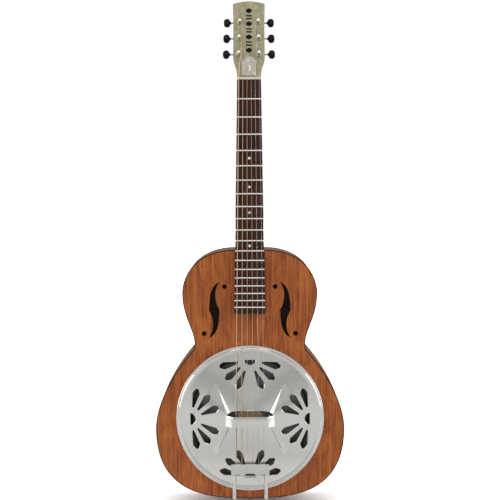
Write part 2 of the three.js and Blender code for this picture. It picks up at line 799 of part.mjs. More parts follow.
// An oval button on the end of the shaft, waisted where it meets the shaft.
function knob(sign) {
  const rings = [];
  const steps = [[-7, 2.6, 2.6], [-5.4, 3.2, 3], [-4.4, 6.6, 3.6], [-1, 8.5, 4], [3, 8.3, 3.9]];
  steps.push([5.6, 6.6, 3.3], [7, 3.4, 2]);
  for (const [x, halfY, halfZ] of steps) {
    const ring = [];
    for (let j = 0; j < 10; j += 1) {
      const angle = (j * Math.PI) / 5;
      ring.push([sign * x, halfY * Math.cos(angle), halfZ * Math.sin(angle)]);
    }
    rings.push(ring);
  }
  const bore = turned([[0, -8], [1.75, -8], [1.75, 3], [0, 3]], 8).rotateY(sign * Math.PI / 2);
  return cut(loft(rings), bore);
}

function ferrule() {
  const profile = [[3.3, -8], [4.2, -8], [4.2, GAP], [5.4, GAP], [5.2, 1.6], [3.3, 2], [3.3, -8]];
  return turned(profile, 12);
}

// The three tuners of one side share a base plate with two bent lugs for each worm shaft.
function tunerPlate(sign) {
  const high = -HEAD_THICKNESS - GAP;
  const low = high - 1.2;
  const side = POSTS.filter(({ x }) => Math.sign(x) === sign);
  const inner = 7.4;
  const outer = 28.6;
  const start = POSTS[0].y - 13.7;
  const end = POSTS[2].y + 19.7;
  const strip = block(sign > 0 ? inner : -outer, sign > 0 ? outer : -inner, start, end, low, high);
  const lugs = [];
  const holes = [];
  for (const { x, y } of side) {
    const wormY = y + WORM_OFFSET;
    for (const offset of [-6.4, 6.4]) {
      lugs.push(block(x + offset - 0.6, x + offset + 0.6, wormY - 3.4, wormY + 3.4, WORM_Z - 3.4, low + 0.2));
    }
    const shaft = turned([[0, -12], [1.8, -12], [1.8, 12], [0, 12]], 8).rotateY(Math.PI / 2);
    holes.push(shaft.translate(x, wormY, WORM_Z));
    holes.push(turned([[0, -19], [3.4, -19], [3.4, -10], [0, -10]], 12).translate(x, y, 0));
  }
  return cut(joined(strip, ...lugs), ...holes);
}

// ---------------------------------------------------------------- tailpiece and strings

const TAIL_FACE = -GAP - 0.5;

// One arm: level behind the strings, down over the tail end, and flat against it.
function tailArm(sign) {
  const top = [[51, 15.2], [19, 8.2], [1.5, 5.2], [-1.4, 2.4], [-2.2, -1], [-2.2, -53]];
  const under = [[TAIL_FACE, -53], [TAIL_FACE, -0.6], [-0.1, 1.5], [2.6, 3.6], [19, 6.6], [51, 13.8]];
  const arm = slabAlongX([...top, ...under], -4.4, 4.4);
  const position = arm.attributes.position;
  for (let i = 0; i < position.count; i += 1) {
    const taper = THREE.MathUtils.clamp(position.getY(i) / 51, 0, 1);
    position.setX(i, sign * TAIL_ARM_X + position.getX(i) * (1 - 0.45 * taper));
  }
  return arm;
}

// A folded plate that hooks the six ball ends, on two arms that hold to the tail end.
function tailpiece() {
  const half = TAILPIECE_HALF;
  const front = TAILPIECE_Y;
  const back = TAILPIECE_BACK_Y;
  const top = slabAlongX([[back, 13.8], [back, 15.2], [front, 15.2], [front, 13.8]], -half, half);
  const lip = block(-half, half, front - 1.2, front, 9.6, 14.5);
  const footHalf = TAIL_ARM_X + 4.4;
  const foot = block(-footHalf, footHalf, -2.2, TAIL_FACE, -53, -34);
  const slots = STRING_DIAMETERS.map((diameter, i) => {
    const x = stringX(i, SADDLE_SPREAD);
    return block(x - 1.1, x + 1.1, front - 3, front + 3, 9, TAILPIECE_STRING_Z + 1.1);
  });
  const holes = [shankHole()];
  holes.push(block(-10.4, 10.4, back + 1.6, back + 5.6, 10, 20));
  for (const x of [15.5, 22.8, 26.8]) {
    const bore = [[0, 10], [1.2, 10], [1.2, 20], [0, 20]];
    for (const side of [-x, x]) {
      holes.push(turned(bore, 8).translate(side, back + 3.4, 0));
    }
  }
  return cut(joined(top, lip, foot, tailArm(-1), tailArm(1)), ...slots, ...holes);
}

const BUTTON_LENGTH = 13;

// The strap button is turned, and its shank passes through the tailpiece into the block.
function strapButton() {
  const profile = [
    [0, -BUTTON_LENGTH],
    [6, -BUTTON_LENGTH],
    [7, -BUTTON_LENGTH + 1],
    [7, -10.6],
    [4.3, -8.6],
    [4.3, -5],
    [6.2, -2.6],
    [SHANK_RADIUS, -2.6],
    [SHANK_RADIUS, 12],
    [0, 12],
  ];
  return turned(profile, 24).rotateX(-Math.PI / 2).translate(0, 0, -BODY_DEPTH / 2);
}

// A path through given points, one straight step between each two.
class PointPath extends THREE.Curve {
  constructor(points) {
    super();
    this.points = points;
  }

  getPoint(t) {
    const last = this.points.length - 1;
    const place = Math.min(t * last, last - 1e-9);
    const i = Math.floor(place);
    return this.points[i].clone().lerp(this.points[i + 1], place - i);
  }

  getPointAt(u) {
    return this.getPoint(u);
  }

  getTangentAt(u) {
    const step = 0.5 / (this.points.length - 1);
    const ahead = this.getPoint(Math.min(u + step, 1));
    return ahead.sub(this.getPoint(Math.max(u - step, 0))).normalize();
  }
}

// The wraps of one string round its post, ending where the string comes in from the nut.
function postWraps(i) {
  const { x, y } = POSTS[i];
  const sign = Math.sign(x);
  const radius = POST_RADIUS + STRING_DIAMETERS[i] / 2 + GAP;
  const pitch = STRING_DIAMETERS[i] + 0.12;
  const points = [];
  const perTurn = 8;
  for (let k = 2 * perTurn; k >= 0; k -= 1) {
    const angle = (k * 2 * Math.PI) / perTurn;
    const across = -sign * Math.cos(angle);
    const local = new THREE.Vector3(x + radius * across, y + radius * Math.sin(angle), 2.9);
    local.z += pitch * (k / perTurn) + STRING_DIAMETERS[i] / 2;
    points.push(local);
  }
  return points.map((p) => p.applyAxisAngle(new THREE.Vector3(1, 0, 0), -HEAD_TILT)
    .add(new THREE.Vector3(0, HEAD_Y, HEAD_FACE_Z)));
}

function guitarString(i) {
  const radius = STRING_DIAMETERS[i] / 2;
  const nutX = stringX(i, NUT_SPREAD);
  const saddleX = stringX(i, SADDLE_SPREAD);
  const nutZ = NUT_FLOOR + GAP + radius;
  const saddleZ = SADDLE_TOP + GAP + radius;
  const points = postWraps(i);
  points.push(new THREE.Vector3(nutX, NUT_Y + NUT_THICKNESS, nutZ - 0.7));
  points.push(new THREE.Vector3(nutX, NUT_Y + 1, nutZ));
  points.push(new THREE.Vector3(saddleX, PLATE_Y + 1, saddleZ));
  points.push(new THREE.Vector3(saddleX, PLATE_Y - 1.5, saddleZ - 0.1));
  points.push(new THREE.Vector3(saddleX, TAILPIECE_Y - 3.5, TAILPIECE_STRING_Z));
  const round = new THREE.Shape();
  const sides = 6;
  for (let k = 0; k < sides; k += 1) {
    const angle = (k * 2 * Math.PI) / sides;
    const go = k === 0 ? 'moveTo' : 'lineTo';
    round[go](radius * Math.cos(angle), radius * Math.sin(angle));
  }
  const settings = { steps: points.length - 1, extrudePath: new PointPath(points) };
  const tube = new THREE.ExtrudeGeometry(round, settings);
  const ball = new THREE.SphereGeometry(1.9, 6, 4);
  return joined(tube, ball.translate(saddleX, TAILPIECE_Y - 4, TAILPIECE_STRING_Z));
}

// ---------------------------------------------------------------- assembly

const guitar = new THREE.Group();

add(guitar, 'top_plate', topPlate(), MAHOGANY);
add(guitar, 'back_plate', backPlate(), MAHOGANY);
add(guitar, 'side_right', side(), MAHOGANY);
const leftSide = add(guitar, 'side_left', side(), MAHOGANY);
leftSide.rotation.y = Math.PI;
leftSide.position.z = -BODY_DEPTH;
add(guitar, 'top_binding', binding(-PLATE_THICKNESS, 0), DARK_EDGE);
add(guitar, 'back_binding', binding(-BODY_DEPTH, -BODY_DEPTH + PLATE_THICKNESS), DARK_EDGE);
add(guitar, 'neck_block', neckBlock(), INNER_WOOD);
add(guitar, 'tail_block', tailBlock(), INNER_WOOD);
add(guitar, 'neck_stick', neckStick(), MAPLE);
add(guitar, 'soundwell', soundwell(), INNER_WOOD);
add(guitar, 'f_hole_screen_left', fHoleScreen(-1), BLACK_MESH);
add(guitar, 'f_hole_screen_right', fHoleScreen(1), BLACK_MESH);

add(guitar, 'cone', cone(), ALUMINIUM);
add(guitar, 'biscuit', biscuit(), MAPLE);
add(guitar, 'biscuit_screw', biscuitScrew(), CHROME);
add(guitar, 'saddle', saddle(), MAPLE);
add(guitar, 'cover_plate', coverPlate(), CHROME);

add(guitar, 'neck', neck(), MAHOGANY);
add(guitar, 'fingerboard', fingerboard(), ROSEWOOD);
add(guitar, 'fingerboard_wedge', fingerboardWedge(), ROSEWOOD);
add(guitar, 'nut', nut(), BONE);
add(guitar, 'truss_rod', trussRod(), ALUMINIUM);
add(guitar, 'tailpiece', tailpiece(), CHROME);
add(guitar, 'strap_button', strapButton(), CHROME);

const head = new THREE.Group();
head.position.set(0, HEAD_Y, HEAD_FACE_Z);
head.rotation.x = -HEAD_TILT;
guitar.add(head);
add(head, 'headstock_overlay', headOverlay(), PEARLOID);
add(head, 'truss_rod_cover', trussCover(), WHITE_PEARLOID);
add(head, 'tuner_plate_left', tunerPlate(-1), CHROME);
add(head, 'tuner_plate_right', tunerPlate(1), CHROME);

const trussNutMesh = add(guitar, 'truss_nut', trussNut(), BRASS);
trussNutMesh.position.set(0, TRUSS_NUT_Y + TRUSS_NUT_LENGTH / 2, rodZ(HEAD_Y) - 0.5);

POSTS.forEach(({ x, y }, i) => {
  const sign = Math.sign(x);
  const number = i + 1;
  const tuner = new THREE.Group();
  tuner.position.set(x, y, 0);
  head.add(tuner);
  add(tuner, `tuner_post_${number}`, post(), CHROME);
  add(tuner, `tuner_ferrule_${number}`, ferrule(), CHROME);
  const shaftLine = new THREE.Group();
  shaftLine.position.set(0, WORM_OFFSET, WORM_Z);
  tuner.add(shaftLine);
  const reach = KNOB_REACH + 2.6;
  add(shaftLine, `tuner_worm_${number}`, wormShaft(sign, reach), CHROME);
  const button = add(shaftLine, `tuner_button_${number}`, knob(sign), BLACK_PLASTIC);
  button.position.x = sign * KNOB_REACH;
  const wound = STRING_DIAMETERS[i] > 0.5;
  add(guitar, `string_${number}`, guitarString(i), wound ? BRONZE : PLAIN_STEEL);
});

guitar.rotation.x = Math.PI / 2;
guitar.position.set(0, -BODY_DEPTH / 2, BUTTON_LENGTH);

const part = new THREE.Group();
part.add(guitar);

export default part;
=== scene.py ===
"""The looks of a six-string resonator guitar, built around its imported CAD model.

Pieces are drawn in millimetres on the bench, as the CAD is: x across, y from the tail to
the head, z out of the top. The matrices BENCH, BOARD and HEAD put them into the row frame.
"""
import json
import math

import bmesh
import bpy
from mathutils import Matrix, Vector
from mathutils.geometry import tessellate_polygon


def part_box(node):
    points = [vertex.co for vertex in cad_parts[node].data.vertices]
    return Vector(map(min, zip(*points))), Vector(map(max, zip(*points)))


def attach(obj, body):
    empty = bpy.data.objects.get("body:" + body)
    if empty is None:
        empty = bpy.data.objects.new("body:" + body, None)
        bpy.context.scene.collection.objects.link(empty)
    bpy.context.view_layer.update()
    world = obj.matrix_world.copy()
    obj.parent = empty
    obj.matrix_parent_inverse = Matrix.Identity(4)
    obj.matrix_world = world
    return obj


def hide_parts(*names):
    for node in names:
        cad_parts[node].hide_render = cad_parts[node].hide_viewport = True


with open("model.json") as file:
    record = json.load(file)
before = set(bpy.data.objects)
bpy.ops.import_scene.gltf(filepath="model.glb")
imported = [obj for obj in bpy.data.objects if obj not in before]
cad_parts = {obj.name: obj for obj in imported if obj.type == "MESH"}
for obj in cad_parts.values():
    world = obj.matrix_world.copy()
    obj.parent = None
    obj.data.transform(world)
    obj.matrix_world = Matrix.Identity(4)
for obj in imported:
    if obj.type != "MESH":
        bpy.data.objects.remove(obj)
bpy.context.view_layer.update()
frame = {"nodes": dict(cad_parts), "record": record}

RECORD_JOINTS = {joint["name"]: joint for joint in frame["record"]["behaviour"]["joints"]}
MM = 0.001

# ---------------------------------------------------------------- places from the frame

edge_low, edge_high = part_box("top_binding")
TAIL_Z = edge_low.z
FRONT_Y = edge_low.y
BODY_LENGTH = (edge_high.z - edge_low.z) / MM
BODY_DEPTH = (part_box("back_binding")[1].y - FRONT_Y) / MM
BENCH = (
    Matrix.Translation((0, FRONT_Y, TAIL_Z))
    @ Matrix.Rotation(math.pi / 2, 4, "X")
    @ Matrix.Scale(MM, 4)
)
TO_BENCH = BENCH.inverted()


def bench_box(node):
    """The lowest and highest corner of a CAD node, in bench millimetres."""
    corners = [TO_BENCH @ Vector(corner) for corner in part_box(node)]
    low = Vector([min(c[k] for c in corners) for k in range(3)])
    high = Vector([max(c[k] for c in corners) for k in range(3)])
    return low, high


def joint_place(name):
    """A joint's point in bench millimetres and its axis in the bench's directions."""
    joint = RECORD_JOINTS[name]
    point = TO_BENCH @ Vector(joint["pos_m"])
    axis = (TO_BENCH.to_3x3() @ Vector(joint["axis"])).normalized()
    return point, axis


cover_low, cover_high = bench_box("cover_plate")
PLATE_Y = (cover_low.y + cover_high.y) / 2
COVER_RADIUS = (cover_high.x - cover_low.x) / 2
REST_TOP = cover_high.z
SADDLE_Y = sum(bench_box("saddle")[k].y for k in (0, 1)) / 2
SADDLE_TOP = bench_box("saddle")[1].z

SCALE_LENGTH = 635
NUT_Y = bench_box("nut")[0].y
HEAD_Y = NUT_Y + 4.7
NECK_TILT = math.radians(2)
BOARD_THICKNESS = 6.5
BOARD_END_Y = bench_box("fingerboard")[0].y
NUT_BOARD_Z = bench_box("nut")[0].z + BOARD_THICKNESS
BOARD = BENCH @ Matrix.Translation((0, NUT_Y, NUT_BOARD_Z)) @ Matrix.Rotation(-NECK_TILT, 4, "X")

post_point, post_axis = joint_place("tuner_post_1_turn")
HEAD_TILT = math.atan2(post_axis.y, post_axis.z)
HEAD_FACE_Z = post_point.z + (post_point.y - HEAD_Y) * math.tan(HEAD_TILT)
HEAD_LOCAL = Matrix.Translation((0, HEAD_Y, HEAD_FACE_Z)) @ Matrix.Rotation(-HEAD_TILT, 4, "X")
HEAD = BENCH @ HEAD_LOCAL
HEAD_LENGTH = 151.5
HEAD_THICKNESS = 15
OVERLAY_THICKNESS = 1.5

STRING_DIAMETERS = [1.42, 1.07, 0.81, 0.61, 0.43, 0.33]
NUT_SPREAD = 37.8
SADDLE_SPREAD = 53
GAP = 0.3
TAILPIECE_Y = bench_box("tailpiece")[1].y
TAILPIECE_STRING_Z = 11.5

# ---------------------------------------------------------------- node materials


class Paint:
    """A node material that is built up step by step."""

    def __init__(self, name, base, roughness, metallic=0.0, coat=0.0):
        self.material = bpy.data.materials.new(name)
        self.material.use_nodes = True
        self.tree = self.material.node_tree
        self.shader = self.tree.nodes["Principled BSDF"]
        self.shader.inputs["Base Color"].default_value = (*base, 1)
        self.shader.inputs["Roughness"].default_value = roughness
        self.shader.inputs["Metallic"].default_value = metallic
        self.shader.inputs["Coat Weight"].default_value = coat
        self.shader.inputs["Coat Roughness"].default_value = 0.12
        self.place = self.add("ShaderNodeTexCoord").outputs["Object"]

    def add(self, kind, **settings):
        node = self.tree.nodes.new(kind)
        for key, value in settings.items():
            setattr(node, key, value)
        return node

    def link(self, start, end):
        self.tree.links.new(start, end)

    def mapped(self, scale, turn=(0, 0, 0), source=None):
        node = self.add("ShaderNodeMapping")
        node.inputs["Scale"].default_value = scale
        node.inputs["Rotation"].default_value = turn
        self.link(source or self.place, node.inputs["Vector"])
        return node.outputs["Vector"]

    def noise(self, scale, detail=3.0, rough=0.55, distort=0.0, source=None):
        node = self.add("ShaderNodeTexNoise")
        node.inputs["Scale"].default_value = 1.0
        node.inputs["Detail"].default_value = detail
        node.inputs["Roughness"].default_value = rough
        node.inputs["Distortion"].default_value = distort
        self.link(self.mapped(scale, source=source), node.inputs["Vector"])
        return node.outputs["Fac"]

    def cells(self, scale, output="Color", source=None):
        node = self.add("ShaderNodeTexVoronoi")
        node.inputs["Scale"].default_value = 1.0
        self.link(self.mapped(scale, source=source), node.inputs["Vector"])
        return node.outputs[output]

    def ramp(self, value, stops):
        node = self.add("ShaderNodeValToRGB")
        first, last = node.color_ramp.elements[0], node.color_ramp.elements[1]
        first.position, first.color = stops[0][0], (*stops[0][1], 1)
        last.position, last.color = stops[-1][0], (*stops[-1][1], 1)
        for position, color in stops[1:-1]:
            node.color_ramp.elements.new(position).color = (*color, 1)
        self.link(value, node.inputs["Fac"])
        return node.outputs["Color"]

    def mix(self, factor, a, b, blend="MIX"):
        node = self.add("ShaderNodeMix", data_type="RGBA", blend_type=blend)
        for socket, value in ((node.inputs[0], factor), (node.inputs[6], a), (node.inputs[7], b)):
            if isinstance(value, bpy.types.NodeSocket):
                self.link(value, socket)
            elif isinstance(value, (int, float)):
                socket.default_value = value
            else:
                socket.default_value = (*value, 1)
        return node.outputs[2]

    def spread(self, value, low, high, start=0.0, end=1.0):
        node = self.add("ShaderNodeMapRange")
        node.inputs["From Min"].default_value = start
        node.inputs["From Max"].default_value = end
        node.inputs["To Min"].default_value = low
        node.inputs["To Max"].default_value = high
        self.link(value, node.inputs["Value"])
        return node.outputs["Result"]

    def color(self, socket):
        self.link(socket, self.shader.inputs["Base Color"])

    def roughness(self, socket):
        self.link(socket, self.shader.inputs["Roughness"])

    def bump(self, height, strength, distance):
        node = self.add("ShaderNodeBump")
        node.inputs["Strength"].default_value = strength
        node.inputs["Distance"].default_value = distance
        self.link(height, node.inputs["Height"])
        old = self.shader.inputs["Normal"].links
        if old:
            self.link(old[0].from_socket, node.inputs["Normal"])
        self.link(node.outputs["Normal"], self.shader.inputs["Normal"])


def gray(value):
    return (value, value, value)


def wood(name, dark, middle, light, pore, pore_depth=0.35, roughness=0.35, coat=0.0, turn=(0, 0, 0)):
    """Straight-grained wood whose grain runs along the neck, with open pores and figure."""
    paint = Paint(name, middle, roughness, coat=coat)
    grain = paint.mapped((1, 1, 1), turn)
    bands = paint.noise((240, 240, 6), 4, 0.65, 0.6, grain)
    color = paint.ramp(bands, [(0.32, dark), (0.5, middle), (0.7, light)])
    figure = paint.noise((45, 45, 17), 3, 0.6, 1.2, grain)
    color = paint.mix(paint.spread(figure, 0, 0.75, 0.42, 0.72), color, light)
    patches = paint.noise((14, 14, 5), 2, 0.5, 0.3, grain)
    color = paint.mix(paint.spread(patches, 0, 0.5, 0.45, 0.75), color, dark)
    streaks = paint.noise((900, 900, 22), 2, 0.7, 0.2, grain)
    pores = paint.spread(streaks, 0, 1, 0.56, 0.68)
    color = paint.mix(paint.spread(streaks, 0, pore_depth, 0.56, 0.68), color, pore)
    paint.color(color)
    paint.roughness(paint.spread(bands, roughness - 0.05, roughness + 0.12))
    paint.bump(pores, -0.25, 0.0001)
    return paint.material


def metal(name, base, roughness, wear=0.06, ripple=0.0):
    """Plated metal with faint smears that change its gloss, and a ripple from pressing."""
    paint = Paint(name, base, roughness, metallic=1.0)
    smear = paint.noise((30, 30, 55), 4, 0.6, 0.8)
    tint = paint.mix(paint.spread(smear, 0, 0.35, 0.4, 0.8), base, [c * 0.86 for c in base])
    paint.color(tint)
    paint.roughness(paint.spread(smear, roughness - wear, roughness + wear, 0.3, 0.7))
    if ripple:
        paint.bump(paint.noise((22, 22, 22), 1, 0.4), ripple, 0.0008)
    return paint.material


def pearl(name, shadow, middle, glint, tan):
    """Swirled pearl plastic: folded flakes that catch the light, under a clear skin."""
    paint = Paint(name, middle, 0.3, coat=0.15)
    swirl = paint.add("ShaderNodeTexNoise")
    swirl.inputs["Scale"].default_value = 28
    paint.link(paint.place, swirl.inputs["Vector"])
    bent = paint.add("ShaderNodeMix", data_type="RGBA", blend_type="LINEAR_LIGHT")
    bent.inputs[0].default_value = 0.02
    paint.link(paint.place, bent.inputs[6])
    paint.link(swirl.outputs["Color"], bent.inputs[7])
    source = bent.outputs[2]
    flakes = paint.cells((130, 130, 85), "Distance", source)
    color = paint.ramp(flakes, [(0.1, glint), (0.45, middle), (0.85, shadow)])
    clouds = paint.noise((34, 34, 24), 3, 0.6, 1.4)
    color = paint.mix(paint.spread(clouds, 0, 0.85, 0.46, 0.72), color, tan)
    paint.color(color)
    paint.bump(flakes, 0.04, 0.0002)
    return paint.material


def plain(name, base, roughness, speckle, coat=0.0):
    """Moulded or turned stuff with a faint mottle in colour and gloss."""
    paint = Paint(name, base, roughness, coat=coat)
    mottle = paint.noise((260, 260, 260), 3)
    paint.color(paint.mix(paint.spread(mottle, 0, speckle), base, [c * 1.6 + 0.02 for c in base]))
    paint.roughness(paint.spread(mottle, roughness - 0.05, roughness + 0.08))
    paint.bump(mottle, 0.05, 0.0001)
    return paint.material


def wound_wire(name, base, pitch):
    """Round-wound string: fine rings along the string, with painted shade between the turns."""
    paint = Paint(name, base, 0.32, metallic=1.0)
    rings = paint.add("ShaderNodeTexWave", wave_type="BANDS", bands_direction="Z")
    rings.inputs["Scale"].default_value = 1.0 / pitch
    rings.inputs["Distortion"].default_value = 0.0
    paint.link(paint.place, rings.inputs["Vector"])
    # Painted shade: the colour darkens in the grooves between the turns.
    shade = paint.spread(rings.outputs["Fac"], 0.45, 0.0)
    tarnish = paint.noise((60, 60, 12), 2)
    color = paint.mix(shade, base, [c * 0.45 for c in base])
    paint.color(paint.mix(paint.spread(tarnish, 0, 0.4, 0.4, 0.7), color, [c * 0.7 for c in base]))
    paint.bump(rings.outputs["Fac"], 0.5, 0.00008)
    return paint.material


def spun_metal(name, base, pitch):
    """Spun aluminium: fine rings round the cone's axis."""
    paint = Paint(name, base, 0.34, metallic=1.0)
    centre = BENCH @ Vector((0, PLATE_Y, 0))
    shift = paint.add("ShaderNodeVectorMath", operation="SUBTRACT")
    paint.link(paint.place, shift.inputs[0])
    shift.inputs[1].default_value = centre
    rings = paint.add("ShaderNodeTexWave", wave_type="RINGS", rings_direction="Y")
    rings.inputs["Scale"].default_value = 1.0 / pitch
    paint.link(shift.outputs[0], rings.inputs["Vector"])
    paint.color(paint.mix(paint.spread(rings.outputs["Fac"], 0, 0.35), base, [c * 0.6 for c in base]))
    paint.bump(rings.outputs["Fac"], 0.3, 0.0003)
    return paint.material


def dull(material, level):
    """Lowers how much a surface mirrors at a low angle."""
    material.node_tree.nodes["Principled BSDF"].inputs["Specular IOR Level"].default_value = level
    return material


MAHOGANY = dull(wood(
    "mahogany", (0.18, 0.038, 0.01), (0.335, 0.082, 0.017), (0.52, 0.16, 0.033), (0.045, 0.012, 0.006),
    0.85, 0.45, 0.04,
), 0.25)
# Painted shade: the sides are the top's mahogany painted about a third as bright, so the lit rim reads as a
# dark edge.
SHADED_SIDE_WOOD = dull(wood(
    "shaded_side_mahogany", (0.07, 0.018, 0.006), (0.11, 0.03, 0.009), (0.16, 0.045, 0.013), (0.03, 0.009, 0.004),
    0.6, 0.7,
), 0.06)
NECK_WOOD = wood(
    "neck_mahogany", (0.15, 0.05, 0.024), (0.22, 0.078, 0.036), (0.29, 0.11, 0.05), (0.06, 0.02, 0.012),
    0.55, 0.42, 0.2, (math.radians(-2), 0, 0),
)
INNER_WOOD = wood("inner_wood", (0.34, 0.2, 0.1), (0.47, 0.3, 0.16), (0.56, 0.38, 0.22), (0.2, 0.11, 0.05))
# Painted shade: this maple is painted a dark tan, for the shade under the hand rest on the saddle and
# biscuit.
SHADED_MAPLE = wood(
    "maple", (0.2, 0.13, 0.065), (0.27, 0.18, 0.09), (0.34, 0.23, 0.12), (0.14, 0.08, 0.04),
    0.2, 0.5,
)
# Painted shade: a dark ebony cap for the saddle, for the shade under the hand rest.
SHADE_EBONY = wood("shade_ebony_cap", (0.012, 0.01, 0.009), (0.02, 0.016, 0.014), (0.035, 0.028, 0.022), gray(0.004))
ROSEWOOD = dull(wood(
    "rosewood", (0.016, 0.0065, 0.005), (0.036, 0.013, 0.009), (0.075, 0.027, 0.017), (0.006, 0.003, 0.002),
    0.7, 0.6,
), 0.15)
DARK_EDGE = dull(plain("dark_edge", (0.012, 0.005, 0.004), 0.6, 0.3), 0.1)
CHROME = metal("chrome", (0.7, 0.7, 0.672), 0.09, 0.03, 0.25)
BRIGHT_CHROME = metal("bright_chrome", (0.7, 0.7, 0.68), 0.12, 0.03)
# Painted highlight: this nickel is painted near white, brighter than the metal is, for the light the frets
# catch.
NICKEL = metal("nickel_silver", (0.93, 0.92, 0.88), 0.35, 0.05)
# Painted shade: a darker copy of the nickel, so the ferrules read faint.
SHADED_NICKEL = metal("shaded_nickel", (0.42, 0.4, 0.32), 0.3, 0.05)
BRASS = metal("brass", (0.56, 0.41, 0.17), 0.3, 0.08)
STEEL = metal("blued_steel", (0.25, 0.25, 0.26), 0.4, 0.1)
PLAIN_WIRE = metal("plain_wire", (0.66, 0.65, 0.62), 0.22, 0.05)
BLACK_WIRE = metal("black_wire", (0.035, 0.035, 0.035), 0.45, 0.1)
# Painted shade: the cone's aluminium is painted dark grey, for the shade behind the cover plate's holes.
SHADED_ALUMINIUM = spun_metal("shaded_spun_aluminium", (0.17, 0.17, 0.17), 0.0011)
BRONZE = wound_wire("wound_bronze", (0.74, 0.55, 0.37), 0.0004)
BONE = plain("bone", (0.66, 0.6, 0.46), 0.4, 0.25, 0.2)
BLACK_PLASTIC = dull(plain("black_plastic", (0.003, 0.003, 0.003), 0.3, 0.1), 0.12)
BLACK_INLAY = dull(plain("black_inlay", (0.006, 0.006, 0.005), 0.6, 0.1), 0.1)
PEARLOID = dull(
    pearl("pearloid", (0.23, 0.225, 0.115), (0.3, 0.285, 0.16), (0.4, 0.39, 0.25), (0.42, 0.3, 0.16)), 0.3
)
WHITE_PEARLOID = pearl(
    "white_pearloid", (0.4, 0.38, 0.34), (0.5, 0.48, 0.43), (0.8, 0.8, 0.78), (0.5, 0.45, 0.38)
)
DOT_PEARL = pearl("dot_pearl", (0.5, 0.5, 0.46), (0.66, 0.66, 0.62), (0.85, 0.86, 0.84), (0.6, 0.6, 0.52))

# ---------------------------------------------------------------- mesh tools


def piece(name, bm, matrix, material, nodes=(), body="guitar", crease=32, bevel=0.0, steps=2):
    """Turns a bmesh in millimetres into a finished object that rides on a CAD body."""
    bmesh.ops.remove_doubles(bm, verts=bm.verts, dist=1e-4)
    bmesh.ops.recalc_face_normals(bm, faces=bm.faces)
    mesh = bpy.data.meshes.new(name)
    bm.to_mesh(mesh)
    bm.free()
    mesh.transform(matrix)
    mesh.materials.append(material)
    mesh.polygons.foreach_set("use_smooth", [True] * len(mesh.polygons))
    mesh.set_sharp_from_angle(angle=math.radians(crease))
    obj = bpy.data.objects.new(name, mesh)
    bpy.context.scene.collection.objects.link(obj)
    if bevel:
        modifier = obj.modifiers.new("edges", "BEVEL")
        modifier.width = bevel * MM
        modifier.segments = steps
        modifier.limit_method = "ANGLE"
        modifier.angle_limit = math.radians(50)
        modifier.harden_normals = True
    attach(obj, body)
    if nodes:
        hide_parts(*nodes)
    return obj


def add_rings(bm, rings, closed_loop=False, caps=True):
    """Skins rings of points with quads; caps the ends with flat faces."""
    made = [[bm.verts.new(point) for point in ring] for ring in rings]
    pairs = list(zip(made, made[1:]))
    if closed_loop:
        pairs.append((made[-1], made[0]))
    for ring, after in pairs:
        for j in range(len(ring)):
            k = (j + 1) % len(ring)
            bm.faces.new((ring[j], ring[k], after[k], after[j]))
    if caps and not closed_loop:
        bm.faces.new(reversed(made[0]))
        bm.faces.new(made[-1])
    return bm


def add_prism(bm, outlines, low, high):
    """A flat plate: the first outline is its edge, and any others are holes in it."""
    loops = [[Vector((x, y, 0)) for x, y in outline] for outline in outlines]
    points = [point for loop in loops for point in loop]
    under = [bm.verts.new((p.x, p.y, low)) for p in points]
    over = [bm.verts.new((p.x, p.y, high)) for p in points]
    for a, b, c in tessellate_polygon(loops):
        for level in (under, over):
            bm.faces.new((level[a], level[b], level[c]))
    start = 0
    for loop in loops:
        count = len(loop)
        for j in range(count):
            a, b = start + j, start + (j + 1) % count
            bm.faces.new((under[a], under[b], over[b], over[a]))
        start += count
    return bm


def prism(outlines, low, high):
    return add_prism(bmesh.new(), outlines, low, high)


def add_turned(bm, profile, segments=48, matrix=Matrix(), closed=False):
    """A turned solid about z from [radius, height] pairs, from axis to axis or closed."""
    rows = []
    for radius, height in profile:
        if radius < 1e-6:
            rows.append([bm.verts.new(matrix @ Vector((0, 0, height)))])
            continue
        turns = [2 * math.pi * j / segments for j in range(segments)]
        rows.append([
            bm.verts.new(matrix @ Vector((radius * math.cos(t), radius * math.sin(t), height)))
            for t in turns
        ])
    pairs = list(zip(rows, rows[1:]))
    if closed:
        pairs.append((rows[-1], rows[0]))
    for low, high in pairs:
        for j in range(segments):
            k = (j + 1) % segments
            corners = [low[j % len(low)], low[k % len(low)], high[k % len(high)], high[j % len(high)]]
            unique = list(dict.fromkeys(corners))
            bm.faces.new(unique)
    return bm


def turned(profile, segments=48, matrix=Matrix(), closed=False):
    return add_turned(bmesh.new(), profile, segments, matrix, closed)


def frames_along(points):
    """A tangent and two steady normals at each point of a path."""
    result = []
    across = None
    for i, point in enumerate(points):
        before = points[max(i - 1, 0)]
        after = points[min(i + 1, len(points) - 1)]
        tangent = (after - before).normalized()
        if across is None:
            across = tangent.orthogonal().normalized()
        across = (across - tangent * across.dot(tangent)).normalized()
        result.append((tangent, across, tangent.cross(across)))
    return result


def add_tube(bm, points, radius, sides=12):
    """A round wire along a path."""
    rings = []
    for point, (_, across, up) in zip(points, frames_along(points)):
        ring = []
        for j in range(sides):
            angle = 2 * math.pi * j / sides
            ring.append(point + radius * (across * math.cos(angle) + up * math.sin(angle)))
        rings.append(ring)
    return add_rings(bm, rings)


